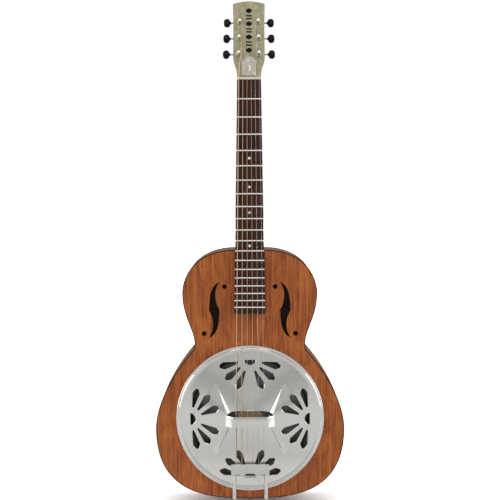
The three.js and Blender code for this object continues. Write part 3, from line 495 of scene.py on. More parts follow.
def cut(obj, tool_bm, matrix, operation="DIFFERENCE"):
    """Applies a boolean with a closed tool, and keeps only the result in the mesh."""
    bmesh.ops.recalc_face_normals(tool_bm, faces=tool_bm.faces)
    mesh = bpy.data.meshes.new("tool")
    tool_bm.to_mesh(mesh)
    tool_bm.free()
    mesh.transform(matrix)
    tool = bpy.data.objects.new("tool", mesh)
    bpy.context.scene.collection.objects.link(tool)
    modifier = obj.modifiers.new("cut", "BOOLEAN")
    modifier.operation = operation
    modifier.solver = "MANIFOLD"
    modifier.object = tool
    bpy.context.view_layer.update()
    graph = bpy.context.evaluated_depsgraph_get()
    result = bpy.data.meshes.new_from_object(obj.evaluated_get(graph))
    obj.modifiers.clear()
    old = obj.data
    obj.data = result
    result.name = obj.name
    bpy.data.meshes.remove(old)
    bpy.data.objects.remove(tool)
    bpy.data.meshes.remove(mesh)
    return obj


def bezier(a, b, c, d, count):
    """Points along a cubic, without its last point."""
    result = []
    for i in range(count):
        t = i / count
        s = 1 - t
        weights = (s ** 3, 3 * s * s * t, 3 * s * t * t, t ** 3)
        result.append(tuple(sum(w * p[k] for w, p in zip(weights, (a, b, c, d))) for k in (0, 1)))
    return result


def circle(x, y, radius, count=24):
    angles = [2 * math.pi * j / count for j in range(count)]
    return [(x + radius * math.cos(t), y + radius * math.sin(t)) for t in angles]


def arc(x, y, radius, start, end, count):
    """Points on an arc given in degrees, both ends included."""
    angles = [math.radians(start + (end - start) * j / count) for j in range(count + 1)]
    return [(x + radius * math.cos(t), y + radius * math.sin(t)) for t in angles]


def smooth(t):
    t = max(0.0, min(1.0, t))
    return t * t * (3 - 2 * t)


# ---------------------------------------------------------------- body

LOWER_HALF = (edge_high.x - edge_low.x) / 2 / MM
PLATE_THICKNESS = 3.2
SIDE_THICKNESS = 2.5
BINDING_WIDTH = 1.8
STEM_X = 66.9
STEM_Y = 362.6


def half_outline():
    """The right half of the body's outline, from the tail centre to the neck centre."""
    lower, waist, upper = (LOWER_HALF, 134.2), (104.4, 297.9), (127, 393.9)
    kink = (106.3, 286.6)
    points = bezier((0, 0), (60.2, 0), (lower[0], -2.9), lower, 44)
    points += bezier(lower, (lower[0], 192.9), (132.9, 257.9), kink, 28)
    points += bezier(kink, (105, 288), (104.4, 291.8), waist, 5)
    points += bezier(waist, (104.4, 324.2), (127, 349.4), upper, 20)
    points += bezier(upper, (127, 419.7), (109, BODY_LENGTH), (28, BODY_LENGTH), 36)
    points += [(28, BODY_LENGTH), (14, BODY_LENGTH), (0, BODY_LENGTH)]
    return points


def body_outline(inset):
    """The whole outline, moved inwards by a distance."""
    right = half_outline()
    moved = []
    for i, (x, y) in enumerate(right):
        before = right[max(i - 1, 0)]
        after = right[min(i + 1, len(right) - 1)]
        along = Vector((after[0] - before[0], after[1] - before[1])).normalized()
        end = i in (0, len(right) - 1)
        moved.append((0 if end else x - along.y * inset, y + along.x * inset))
    left = [(-x, y) for x, y in reversed(moved[1:-1])]
    return moved + left


def f_hole(side):
    """The three openings of one f-hole: the curved stem and its two round eyes."""
    middle = (STEM_X, STEM_Y)
    tip, outer_nick = (55.1, 415.3), (76.7, 360.9)
    outer, inner = ((70.8, 412.3), (76.2, 395)), ((66.8, 408.2), (67.9, 377.6))

    def turn(p):
        return (2 * middle[0] - p[0], 2 * middle[1] - p[1])

    stem = bezier(tip, outer[0], outer[1], outer_nick, 16)
    stem += bezier(outer_nick, turn(inner[1]), turn(inner[0]), turn(tip), 16)
    stem += bezier(turn(tip), turn(outer[0]), turn(outer[1]), turn(outer_nick), 16)
    stem += bezier(turn(outer_nick), inner[1], inner[0], tip, 16)
    loops = [stem, circle(47.6, 406.7, 4.5), circle(86.2, 317.8, 4.6)]
    return [[(side * x, y) for x, y in loop] for loop in loops]


def rim(profile):
    """A ring that follows the outline; its section is a list of [inset, height]."""
    rings = []
    for inset, height in profile:
        rings.append([(x, y, height) for x, y in body_outline(inset)])
    return add_rings(bmesh.new(), rings, closed_loop=True)


def make_body():
    inset = BINDING_WIDTH + 0.04
    openings = f_hole(1) + f_hole(-1) + [circle(0, PLATE_Y, 122.5, 96)]
    top = prism([body_outline(inset)] + openings, -PLATE_THICKNESS, 0)
    piece("soundboard", top, BENCH, MAHOGANY, ["top_plate"], bevel=0.35)
    back = prism([body_outline(inset)], -BODY_DEPTH, -BODY_DEPTH + PLATE_THICKNESS)
    piece("back_board", back, BENCH, MAHOGANY, ["back_plate"], bevel=0.3)
    low = -BODY_DEPTH + PLATE_THICKNESS + 0.02
    high = -PLATE_THICKNESS - 0.02
    section = [(0, low), (0, high), (SIDE_THICKNESS, high), (SIDE_THICKNESS, low)]
    sides = rim(section)
    # The sides carry the mahogany with painted shade.
    piece("bent_sides", sides, BENCH, SHADED_SIDE_WOOD, ["side_left", "side_right"], crease=30)
    width = BINDING_WIDTH
    for name, z, sign in (("top_edge", 0, 1), ("back_edge", -BODY_DEPTH, -1)):
        inner = z - sign * PLATE_THICKNESS
        section = [
            (0, inner), (0, z - sign * 0.9), (0.1, z - sign * 0.45), (0.4, z - sign * 0.12),
            (0.9, z), (width, z), (width, inner),
        ]
        node = "top_binding" if sign > 0 else "back_binding"
        piece(name, rim(section), BENCH, DARK_EDGE, [node], crease=30)


def make_screen(side):
    """Black wire cloth behind one f-hole: two sets of wires, woven over and under."""
    pitch, wire, wave = 2.1, 0.26, 0.24
    half_x, half_y = 16, 60
    bm = bmesh.new()
    for along, across in ((half_y, half_x), (half_x, half_y)):
        count = int(across / pitch)
        for i in range(-count, count + 1):
            offset = i * pitch
            reach = along * math.sqrt(max(1 - (offset / across) ** 2, 0.02))
            steps = max(int(reach / pitch), 1)
            points = []
            for k in range(-2 * steps, 2 * steps + 1):
                run = k * pitch / 2
                lift = wave * math.cos(math.pi * (run / pitch + i)) * (1 if along == half_y else -1)
                points.append(Vector((offset, run, lift) if along == half_y else (run, offset, lift)))
            add_tube(bm, points, wire, 5)
    low, high = bench_box("f_hole_screen_right")
    centre = Vector((side * STEM_X, STEM_Y, (low.z + high.z) / 2))
    matrix = BENCH @ Matrix.Translation(centre) @ Matrix.Rotation(side * 0.16, 4, "Z")
    word = "right" if side > 0 else "left"
    piece(f"wire_screen_{word}", bm, matrix, BLACK_WIRE, [f"f_hole_screen_{word}"], crease=80)


# ---------------------------------------------------------------- resonator

PLATE = BENCH @ Matrix.Translation((0, PLATE_Y, 0))
FOOT_RADIUS = COVER_RADIUS - 10.5
FOOT_Z = 2.8
BEAD_RADIUS = COVER_RADIUS - 6
CROWN_RADIUS = 20
CROWN_Z = 16
SHOULDER_RADIUS = 90
SHOULDER_RISE = 7
SHEET = 1


def dome_height(x, y):
    """Height of the cover plate's upper face inside its foot."""
    r = math.hypot(x, y)
    t = (FOOT_RADIUS - max(r, CROWN_RADIUS)) / (FOOT_RADIUS - CROWN_RADIUS)
    height = FOOT_Z + (CROWN_Z - FOOT_Z) * t
    out = max(abs(y) - 12, 0)
    ridge = 43 + 0.36 * out
    toe = 36 + 0.5 * out
    share = (abs(x) - toe) / max(ridge - toe, 1.2)
    edge = 0.07
    wall = max(0.0, min(1.0, share))
    wall = (1 - edge) * wall + edge * smooth(share)
    rise = min((SHOULDER_RADIUS + 6 - r) / (SHOULDER_RADIUS + 6 - 45), 1)
    return height + SHOULDER_RISE * smooth_start(rise) * wall


def smooth_start(t):
    """Rises from 0 to 1 with a soft start."""
    t = max(t, 0.0)
    return t * t / (t * 0.82 + 0.18) if t < 1 else 1.0


def petal(grow):
    """One petal's outline, pointing along +y from the flower's centre."""
    points = [(-1.6, 22.5), (1.6, 22.5), (6.9, 51), (2.2, 59), (-2.2, 59), (-6.9, 51)]
    middle = Vector((0, 42))
    result = []
    for x, y in points:
        out = (Vector((x, y)) - middle).normalized() * grow
        result.append((x + out.x * 1.3, y + out.y))
    return soften(result, 1.1, 3)


def soften(points, radius, count):
    """Rounds each corner of a closed outline with a short curve."""
    result = []
    total = len(points)
    for i, point in enumerate(points):
        here = Vector(point)
        before = Vector(points[i - 1])
        after = Vector(points[(i + 1) % total])
        start = here + (before - here).normalized() * min(radius, (before - here).length * 0.4)
        end = here + (after - here).normalized() * min(radius, (after - here).length * 0.4)
        for k in range(count + 1):
            t = k / count
            mixed = start * (1 - t) ** 2 + here * 2 * t * (1 - t) + end * t * t
            result.append((mixed.x, mixed.y))
    return result


FLOWER_CENTRE = 113
FLOWER_HALF_DISC = 11
FLOWER_FAN = (24.5, 51.5, 77)


def flower_outlines(grow):
    """All the pierced holes in the plate: four half discs, and six petals round each."""
    result = []
    for quarter in range(4):
        turn = Matrix.Rotation(quarter * math.pi / 2, 2)
        half = [(x, y * 0.87) for x, y in arc(0, 0, FLOWER_HALF_DISC + grow, 180, 360, 16)]
        half = [(x, min(y, grow)) for x, y in half]
        group = [[(x, y + FLOWER_CENTRE) for x, y in half]]
        for degrees in FLOWER_FAN:
            for side in (-1, 1):
                fan = Matrix.Rotation(math.pi + side * math.radians(degrees), 2)
                group.append([tuple(fan @ Vector(p) + Vector((0, FLOWER_CENTRE))) for p in petal(grow)])
        result += [[tuple(turn @ Vector(p)) for p in outline] for outline in group]
    return result


def add_piercing(bm, tight, wide):
    """A cutter that follows the dome, with a flare that leaves a softened edge."""
    flare = 0.35
    rings = []
    for outline, lift in ((tight, -6), (tight, -flare), (wide, 0.04), (wide, 8)):
        rings.append([(x, y, dome_height(x, y) + lift) for x, y in outline])
    return add_rings(bm, rings)


def slot_outline(grow):
    points = [(-43, -9), (43, -9), (43, 13), (30, 17.3), (-30, 17.3), (-43, 13)]
    outline = [(x * (1 + grow / 43), y + (grow if y > 0 else -grow)) for x, y in points]
    return soften(outline, 4, 6)


def cover_sheet():
    """The pressed sheet: a rolled bead at the rim, then the dome with its two shoulders."""
    segments = 480
    inner = [FOOT_RADIUS - 1.15 * k for k in range(1, 105)]
    bead = [
        (COVER_RADIUS - 0.3, GAP), (COVER_RADIUS, GAP + 0.3), (COVER_RADIUS, 1.15), (COVER_RADIUS - 0.4, 1.5),
    ]
    rolled = [(4.2, 1.62), (3.5, 1.5), (2.9, 1.45), (2.4, 1.8), (1.6, 3.1), (0.8, 4), (0, 4.3)]
    rolled += [(-0.8, 4.2), (-2, 3.75), (-3, 3.2), (-3.8, 2.9)]
    bead += [(BEAD_RADIUS + out, z) for out, z in rolled] + [(FOOT_RADIUS, FOOT_Z)]
    under = [(FOOT_RADIUS, FOOT_Z - SHEET), (BEAD_RADIUS, FOOT_Z)]
    under += [(BEAD_RADIUS + 2.6, 0.5), (BEAD_RADIUS + 3, GAP)]
    rows = [("flat", r, z) for r, z in bead]
    rows += [("top", r, 0) for r in inner]
    rows += [("low", r, 0) for r in reversed(inner[4::5])]
    rows += [("flat", r, z) for r, z in under]
    bm = bmesh.new()
    rings = []
    for kind, r, z in rows:
        ring = []
        for j in range(segments):
            angle = 2 * math.pi * j / segments
            x, y = r * math.cos(angle), r * math.sin(angle)
            if kind == "top":
                z = dome_height(x, y)
            elif kind == "low":
                z = dome_height(x, y) - SHEET
            ring.append((x, y, z))
        rings.append(ring)
    split = len(bead) + len(inner)
    add_rings(bm, [*reversed(rings[:split])], caps=False)
    add_rings(bm, [*reversed(rings[split:])], caps=False)
    add_rings(bm, [rings[0], rings[-1]], caps=False)
    add_rings(bm, [rings[split - 1], rings[split]], caps=False)
    bmesh.ops.remove_doubles(bm, verts=bm.verts, dist=1e-4)
    return bm


def strap_path():
    """The hand rest's middle line in x and height: two legs, round corners, a flat top."""
    top = REST_TOP - 0.8
    half, foot, foot_z = 30.5, 46.3, 18.6
    right = [(foot, foot_z), (44.1, 20.4), (42.5, 21.9)]
    right += bezier((37.1, 26.9), (34, top - 1.6), (32.5, top), (half - 2, top), 8)
    left = [(-x, z) for x, z in reversed(right)]
    return right + left


def strap_mesh():
    """The hand rest: a strap 21 mm deep with soft edges, bent over the strings."""
    half_depth, half_thick, soft = 10.4, 0.8, 0.5
    path = [Vector((x, 0, z)) for x, z in strap_path()]
    section = []
    for sx, sy in ((1, 1), (-1, 1), (-1, -1), (1, -1)):
        for k in range(4):
            angle = math.radians({(1, 1): 0, (-1, 1): 90, (-1, -1): 180, (1, -1): 270}[(sx, sy)] + 30 * k)
            section.append((
                sx * (half_depth - soft) + soft * math.cos(angle),
                sy * (half_thick - soft) + soft * math.sin(angle),
            ))
    rings = []
    for i, point in enumerate(path):
        tangent = (path[min(i + 1, len(path) - 1)] - path[max(i - 1, 0)]).normalized()
        normal = Vector((-tangent.z, 0, tangent.x))
        if normal.z < 0:
            normal.negate()
        rings.append([point + Vector((0, a, 0)) + normal * b for a, b in section])
    return add_rings(bmesh.new(), rings)


def make_cover():
    sheet = piece("cover_sheet", cover_sheet(), PLATE, CHROME, ["cover_plate"], crease=28)
    tools = bmesh.new()
    for tight, wide in zip(flower_outlines(0.0), flower_outlines(0.45)):
        add_piercing(tools, tight, wide)
    add_piercing(tools, slot_outline(0.0), slot_outline(0.5))
    cut(sheet, tools, PLATE)
    cut(sheet, strap_mesh(), PLATE, "UNION")
    sheet.data.polygons.foreach_set("use_smooth", [True] * len(sheet.data.polygons))
    sheet.data.set_sharp_from_angle(angle=math.radians(28))
    for k in range(12):
        angle = math.radians(15 + 30 * k)
        reach = COVER_RADIUS - 1.4
        spot = Matrix.Translation((reach * math.cos(angle), reach * math.sin(angle), 1.55))
        matrix = PLATE @ spot @ Matrix.Rotation(0.7 * k, 4, "Z")
        piece(f"cover_screw_{k + 1}", screw_head(1.25, 0.75), matrix, BRIGHT_CHROME, bevel=0.0)


def screw_head(radius, height, slot=0.28):
    """A round-headed screw with a driver slot and a short shank."""
    profile = [(0, -3), (radius * 0.45, -3), (radius * 0.5, -0.1), (radius, -0.1), (radius, 0.1)]
    for k in range(1, 6):
        angle = math.radians(18 * k)
        profile.append((radius * math.cos(angle), 0.1 + (height - 0.1) * math.sin(angle)))
    profile[-1] = (0, height)
    bm = turned(profile, 24)
    low = height - slot
    width = radius * 0.16
    box = bmesh.new()
    add_prism(box, [[(-radius * 2, -width), (radius * 2, -width), (radius * 2, width), (-radius * 2, width)]],
              low, height + 1)
    return subtracted(bm, box)


def subtracted(bm, tool):
    """One bmesh minus another."""
    objects = []
    for source in (bm, tool):
        bmesh.ops.recalc_face_normals(source, faces=source.faces)
        mesh = bpy.data.meshes.new("part")
        source.to_mesh(mesh)
        source.free()
        obj = bpy.data.objects.new("part", mesh)
        bpy.context.scene.collection.objects.link(obj)
        objects.append(obj)
    modifier = objects[0].modifiers.new("cut", "BOOLEAN")
    modifier.solver = "MANIFOLD"
    modifier.object = objects[1]
    graph = bpy.context.evaluated_depsgraph_get()
    result = bmesh.new()
    result.from_object(objects[0], graph)
    for obj in objects:
        mesh = obj.data
        bpy.data.objects.remove(obj)
        bpy.data.meshes.remove(mesh)
    return result


def make_cone():
    profile = [
        (2.3, 6.2), (22.5, 6.2), (24.2, 5.95), (60, -2.3), (109.4, -13.6), (110.6, -14.2), (112.4, -16.4),
        (113.5, -17), (114.6, -16.4), (116.2, -14.8), (117.2, -14.5), (120.3, -14.5), (120.6, -14.9),
        (120.3, -15.3), (117, -15.3), (115.6, -15.9), (114.3, -17.5), (113.5, -17.9), (112.2, -17.4),
        (110, -15), (60, -3.2), (24, 5.3), (2.3, 5.3),
    ]
    cone = turned(profile, 160, closed=True)
    # The cone carries aluminium painted dark as shade under the cover plate.
    piece("spun_cone", cone, PLATE, SHADED_ALUMINIUM, ["cone"], crease=40)
    low, high = bench_box("biscuit")
    disc = [(0, low.z), (24.4, low.z), (25, low.z + 0.6), (25, high.z - 0.8), (24.2, high.z), (0, high.z)]
    # The biscuit's maple is painted dark as shade under the hand rest.
    piece("biscuit_disc", turned(disc, 72), PLATE, SHADED_MAPLE, ["biscuit"], crease=40)
    make_saddle()


def make_saddle():
    """A maple saddle with an ebony cap, notched for each string; the maple is painted dark and the cap is
    dark ebony, as painted shade under the hand rest.
    """
    middle = SADDLE_TOP - 3
    centre = BENCH @ Matrix.Translation((0, SADDLE_Y, 0)) @ Matrix.Rotation(math.pi / 2, 4, "X")
    outline = [(-24, 11.6), (24, 11.6), (24, 13.7), (28.5, 13.7)]
    outline += [(28.5, middle), (-28.5, middle), (-28.5, 13.7), (-24, 13.7)]
    piece("saddle_foot", prism([outline], -1.6, 1.6), centre, SHADED_MAPLE, ["saddle"], bevel=0.25)
    top = [(28.5, middle + 0.02), (28.3, SADDLE_TOP - 0.6)]
    for i in reversed(range(6)):
        x = string_x(i, SADDLE_SPREAD)
        depth = STRING_DIAMETERS[i] * 0.5
        top += [(x + depth + 0.2, SADDLE_TOP + 0.25), (x + depth * 0.4, SADDLE_TOP + 0.25 - depth),
                (x - depth * 0.4, SADDLE_TOP + 0.25 - depth), (x - depth - 0.2, SADDLE_TOP + 0.25)]
    top += [(-28.3, SADDLE_TOP - 0.6), (-28.5, middle + 0.02)]
    piece("saddle_cap", prism([top], -1.5, 1.5), centre, SHADE_EBONY, bevel=0.15)


def string_x(i, spread):
    return -spread / 2 + spread * i / 5


# ---------------------------------------------------------------- neck and head

NUT_HALF = 22.225
TWELFTH_HALF = 27


def board_half(y):
    """Half the fingerboard's width at a place along the bench."""
    return NUT_HALF + (NUT_Y - y) * (TWELFTH_HALF - NUT_HALF) / (SCALE_LENGTH / 2)


def board_height(y):
    return NUT_BOARD_Z + (NUT_Y - y) * math.tan(NECK_TILT)


def head_half(s):
    """Half the head's width at a distance from the nut along the head."""
    if s < 39.5:
        return NUT_HALF + (29.6 - NUT_HALF) * smooth((s - 7) / 32)
    if s < 91:
        return 29.2 + 0.4 * ((91 - s) / 51.5) ** 2
    return 29.2 + 0.9 * ((s - 91) / 50) ** 2


def head_outline(inset):
    """The head's outline in its own plane, with a gently arched tip."""
    right = []
    start = 0.2 + inset
    for k in range(0, 31):
        s = start + (142.5 - start) * k / 30
        right.append((head_half(s) - inset, s))
    corner = head_half(145) - inset
    right += bezier((corner, 143.6 - inset), (corner, 145.7 - inset), (corner - 1.2, 146.7 - inset),
                    (corner - 3.6, 147.4 - inset), 6)
    for k in range(0, 13):
        x = (corner - 3.6) * (1 - k / 12)
        right.append((x, HEAD_LENGTH - inset - 4.1 * (x / (corner - 3.6)) ** 2))
    left = [(-x, y) for x, y in reversed(right[:-1])]
    return right + left


def neck_section(half, top_z, depth, square):
    """Points of the neck's section: underside from right to left, then the flat top."""
    points = []
    steps = 28
    for j in range(steps + 1):
        angle = math.pi * j / steps
        c, s = math.cos(angle), math.sin(angle)
        power = 1 - 0.72 * square
        x = math.copysign(abs(c) ** power, c) * half
        z = top_z - 1.2 - (depth - 1.2) * s ** (0.8 - 0.5 * square)
        points.append((x, z))
    points += [(-half, top_z - 0.4), (-half + 0.4, top_z)]
    points += [(x, top_z) for x in (-half / 2, 0, half / 2)]
    points += [(half - 0.4, top_z), (half, top_z - 0.4)]
    return points


def shaft_ring(y, depth, half=None, square=0.0):
    top = board_height(y) - BOARD_THICKNESS - 0.03
    return [Vector((x, y, z)) for x, z in neck_section(half or board_half(y), top, depth, square)]


def head_ring(s, square, bow=0.0, half=None, thin=1.0):
    """A ring across the head, bowed towards the tip near its end."""
    width = half or head_half(s)
    top = -OVERLAY_THICKNESS - 0.02
    depth = HEAD_THICKNESS + top
    middle = top - depth / 2
    ring = []
    for x, z in neck_section(width, top, depth, square):
        along = s + bow * (1 - (x / width) ** 2)
        ring.append(HEAD_LOCAL @ Vector((x, along, middle + (z - middle) * thin)))
    return ring


def make_neck():
    """Heel, shaft and head in one skin."""
    start = BODY_LENGTH + GAP
    rings = []
    for step in range(0, 25):
        distance = 46 * (step / 24) ** 1.25
        heel = 1 - distance / 46
        depth = 18 + 54 * heel ** 2.2
        rings.append(shaft_ring(start + distance, depth))
    for y in range(int(start) + 66, int(NUT_Y) - 30, 24):
        t = (y - start) / (NUT_Y - start)
        rings.append(shaft_ring(y, 18 - 2 * t))
    for y in (NUT_Y - 26, NUT_Y - 16, NUT_Y - 8):
        rings.append(shaft_ring(y, 16))
    steps = 10
    for k in range(1, steps):
        t = k / steps
        blend = smooth(t)
        y = NUT_Y - 8 + 16 * t
        low_ring = shaft_ring(min(y, HEAD_Y - 0.2), 16, NUT_HALF)
        high_ring = head_ring(2 + 16 * t, 0.55 * blend, half=head_half(2 + 16 * t))
        rings.append([a.lerp(b, blend) for a, b in zip(low_ring, high_ring)])
    for s in (19, 22, 26, 30, 34, 38, 50, 65, 80, 95, 110, 125, 136, 142):
        rings.append(head_ring(s, min(0.55 + (s - 19) * 0.03, 0.95)))
    for s, half, bow in ((144.4, 30.0, 1.2), (146, 29.4, 2.6), (146.8, 28.4, 3.6), (147.3, 27.2, 4.1)):
        rings.append(head_ring(s, 0.95, bow, half))
    for thin, reach in ((0.96, 0.12), (0.6, 0.2), (0.2, 0.22)):
        rings.append(head_ring(147.3 + reach - 0.1, 0.95, 4.1, 27.1, thin))
    bm = add_rings(bmesh.new(), rings)
    piece("carved_neck", bm, BENCH, NECK_WOOD, ["neck"], crease=38)


def make_head_face():
    face = prism([head_outline(0.1)], -OVERLAY_THICKNESS, 0)
    piece("head_veneer", face, HEAD, PEARLOID, ["headstock_overlay"], bevel=0.3)
    low, spacing, half = 53.2, 13.2, 5.7
    for k in range(7):
        y = low + spacing * k
        tall = 5.4
        lozenge = [(0, y - tall), (half, y - 2), (half, y + 2), (0, y + tall), (-half, y + 2), (-half, y - 2)]
        bars = []
        for at in (y - 3, y + 3):
            bars.append([(-half, at - 1.4), (half, at - 1.4), (half, at + 1.4), (-half, at + 1.4)])
        inlay = prism([lozenge], -0.3, 0.06)
        if k % 2:
            inlay = prism(bars[:1], -0.3, 0.06)
            add_prism(inlay, bars[1:], -0.3, 0.06)
        piece(f"head_inlay_{k + 1}", inlay, HEAD, BLACK_INLAY)


def make_truss_parts():
    low, high = 2.6, 40.6
    half = 13.3
    right = [(half, low), (half, 22)]
    right += bezier((half, 22), (half, 33), (8.4, high), (0, high), 14)[1:]
    outline = right + [(0, high)] + [(-x, y) for x, y in reversed(right)]
    cover = prism([outline], GAP - 0.28, 1.8)
    piece("truss_cover", cover, HEAD, WHITE_PEARLOID, ["truss_rod_cover"],
          bevel=0.45, steps=3)
    for name, x, y in (("top", 0, 36), ("left", -9.6, 6), ("right", 9.6, 6)):
        spot = HEAD @ Matrix.Translation((x, y, 1.8)) @ Matrix.Rotation(0.6 + x, 4, "Z")
        piece(f"truss_screw_{name}", screw_head(1.35, 0.7), spot, BRIGHT_CHROME)


def make_board():
    """The fingerboard, its frets and its pearl dots, all in the board's own plane."""
    length = (NUT_Y - 0.05 - BOARD_END_Y) / math.cos(NECK_TILT)
    half_end, half_nut = board_half(BOARD_END_Y), board_half(NUT_Y)
    outline = [(-half_nut, -0.05), (-half_end, -length), (half_end, -length), (half_nut, -0.05)]
    board = prism([outline], -BOARD_THICKNESS, 0)
    piece("rosewood_board", board, BOARD, ROSEWOOD, ["fingerboard"], bevel=0.5, steps=3)
    wedge_low, wedge_high = bench_box("fingerboard_wedge")
    rings = []
    for y in (wedge_low.y, wedge_high.y):
        half = board_half(y) - 1.5
        top = board_height(y) - BOARD_THICKNESS - 0.04
        rings.append([(-half, y, 0.03), (half, y, 0.03), (half, y, top), (-half, y, top)])
    wedge = add_rings(bmesh.new(), rings)
    piece("board_wedge", wedge, BENCH, ROSEWOOD, ["fingerboard_wedge"])
    for n in range(1, 20):
        make_fret(n)
    for n in (5, 7, 9, 12):
        y = -(fret_distance(n - 1) + fret_distance(n)) / 2
        dot = [(0, -1), (2.6, -1), (2.6, 0.02), (2.3, 0.06), (0, 0.08)]
        place = BOARD @ Matrix.Translation((0, y, 0))
        piece(f"pearl_dot_{n}", turned(dot, 32), place, DOT_PEARL, crease=40)


def fret_distance(n):
    return SCALE_LENGTH * (1 - 2 ** (-n / 12))


def make_fret(n):
    """A crowned wire whose ends slope down to the board's edge."""
    y = -fret_distance(n)
    half = board_half(NUT_Y + y) - 0.15
    height, width = 1.0, 1.15
    section = [(-width, -0.1)] + [
        (-width * math.cos(math.radians(a)), height * math.sin(math.radians(a)) ** 0.8)
        for a in (12, 32, 52, 72, 90, 108, 128, 148, 168)
    ] + [(width, -0.1)]
    rings = []
    for x, rise in ((-half, 0.12), (-half + 0.25, 0.5), (-half + 0.9, 0.92), (-half + 1.6, 1),
                    (half - 1.6, 1), (half - 0.9, 0.92), (half - 0.25, 0.5), (half, 0.12)):
        rings.append([(x, y + a, b * rise if b > 0 else b) for a, b in section])
    piece(f"fret_{n}", add_rings(bmesh.new(), rings), BOARD, NICKEL, crease=50)


def make_nut():
    """A bone nut with a slot for each string, sloping down towards the head."""
    low, high = bench_box("nut")
    floor = NUT_BOARD_Z + 1.2
    crest = floor + 1.3
    half = NUT_HALF - 0.1
    profile = []
    for i in reversed(range(6)):
        x = string_x(i, NUT_SPREAD)
        r = STRING_DIAMETERS[i] / 2
        profile += [(x + r + 0.12, 0), (x + r, -1.3 + r), (x, -1.3), (x - r, -1.3 + r), (x - r - 0.12, 0)]
    sides = [(half, low.z), (half, crest - 1.2), (half - 0.4, crest - 0.4), (half - 1.2, crest)]
    rings = []
    thickness = high.y - low.y
    for along, drop, shrink in ((0, 0.35, 0), (0.35, 0, 0), (2, 0, 0), (3.4, 0.6, 0), (thickness, 1.9, 0.1)):
        ring = [(x - shrink, low.y + along, max(z - drop, low.z)) for x, z in sides]
        ring += [(x, low.y + along, crest - drop + z) for x, z in profile]
        ring += [(-x + shrink, low.y + along, max(z - drop, low.z)) for x, z in reversed(sides)]
        rings.append(ring)
    piece("bone_nut", add_rings(bmesh.new(), rings), BENCH, BONE, ["nut"], crease=35)


# ---------------------------------------------------------------- tuners

GEAR_TEETH = 14
GEAR_RADIUS = 5
WORM_RADIUS = 2.3
WORM_PITCH = 2 * math.pi * GEAR_RADIUS / GEAR_TEETH
BACK_Z = -HEAD_THICKNESS
KNOB_REACH = 23.5


def on_head(point):
    """A bench point in the head's own plane."""
    return HEAD_LOCAL.inverted() @ point


TUNERS = []
for number in range(1, 7):
    post_at = on_head(joint_place(f"tuner_post_{number}_turn")[0])
    key_at = on_head(joint_place(f"tuner_key_{number}_turn")[0])
    TUNERS.append((number, post_at, key_at, 1 if post_at.x > 0 else -1))


def make_knob(number, key_at, sign):
    """An oval button with a softened rim and a short neck."""
    low, high = bench_box(f"tuner_button_{number}")
    centre = (low.x + high.x) / 2
    stations = [
        (-7.0, 2.3, 2.3), (-6.6, 2.7, 2.6), (-5.6, 3.0, 2.8), (-5.0, 3.8, 3.0), (-4.5, 5.6, 3.3),
        (-3.6, 7.2, 3.6), (-2.0, 8.2, 3.85), (0.4, 8.6, 4.0), (2.8, 8.3, 3.9), (4.8, 7.3, 3.6),
        (6.1, 5.6, 3.1), (6.8, 3.4, 2.3),
        (7.0, 1.2, 1.0),
    ]
    rings = []
    for x, half_y, half_z in stations:
        ring = []
        for j in range(32):
            angle = 2 * math.pi * j / 32
            c, s = math.cos(angle), math.sin(angle)
            ring.append((
                centre + sign * x,
                key_at.y + math.copysign(abs(c) ** 0.85, c) * half_y,
                key_at.z + math.copysign(abs(s) ** 0.8, s) * half_z,
            ))
        rings.append(ring)
    bm = add_rings(bmesh.new(), rings)
    piece(f"knob_{number}", bm, HEAD, BLACK_PLASTIC, [f"tuner_button_{number}"],
          f"tuner_key_{number}", crease=60)


def make_worm(number, post_at, key_at, sign):
    """The worm and its shaft, with a collar at each bearing."""
    reach = KNOB_REACH + 2.6
    profile = [
        (0, -9), (1.1, -9), (1.45, -8.6), (1.45, -5.4), (2.2, -5.3), (2.2, -4.3), (1.3, -4.1), (1.3, 4.1),
        (2.2, 4.3), (2.2, 5.3), (1.45, 5.4), (1.45, 8), (2.1, 8.2), (2.3, 8.7), (2.1, 9.2), (1.45, 9.4),
        (1.45, reach - 8.6), (2.0, reach - 8.2), (2.0, reach - 7.4), (1.45, reach - 7),
        (1.45, reach), (0, reach),
    ]
    centre = Matrix.Translation(Vector((post_at.x, key_at.y, key_at.z)))
    bm = turned(profile, 24, centre @ Matrix.Rotation(sign * math.pi / 2, 4, "Y"))
    steps = 84
    turns = 3.5
    rings = []
    for i in range(steps + 1):
        turn = turns * (i / steps - 0.5)
        angle = math.pi + 2 * math.pi * turn
        fade = min(1, min(i, steps - i) / 8)
        crown = 1.25 + 1.5 * fade
        section = [(1.1, -0.55), (crown - 0.1, -0.3), (crown, -0.2)]
        section += [(r, -along) for r, along in reversed(section)]
        ring = []
        for r, along in section:
            spot = (WORM_PITCH * turn + along, r * math.cos(angle), r * math.sin(angle))
            ring.append(centre @ Vector(spot))
        rings.append(ring)
    add_rings(bm, rings)
    piece(f"worm_{number}", bm, HEAD, STEEL, [f"tuner_worm_{number}"],
          f"tuner_key_{number}", crease=35)


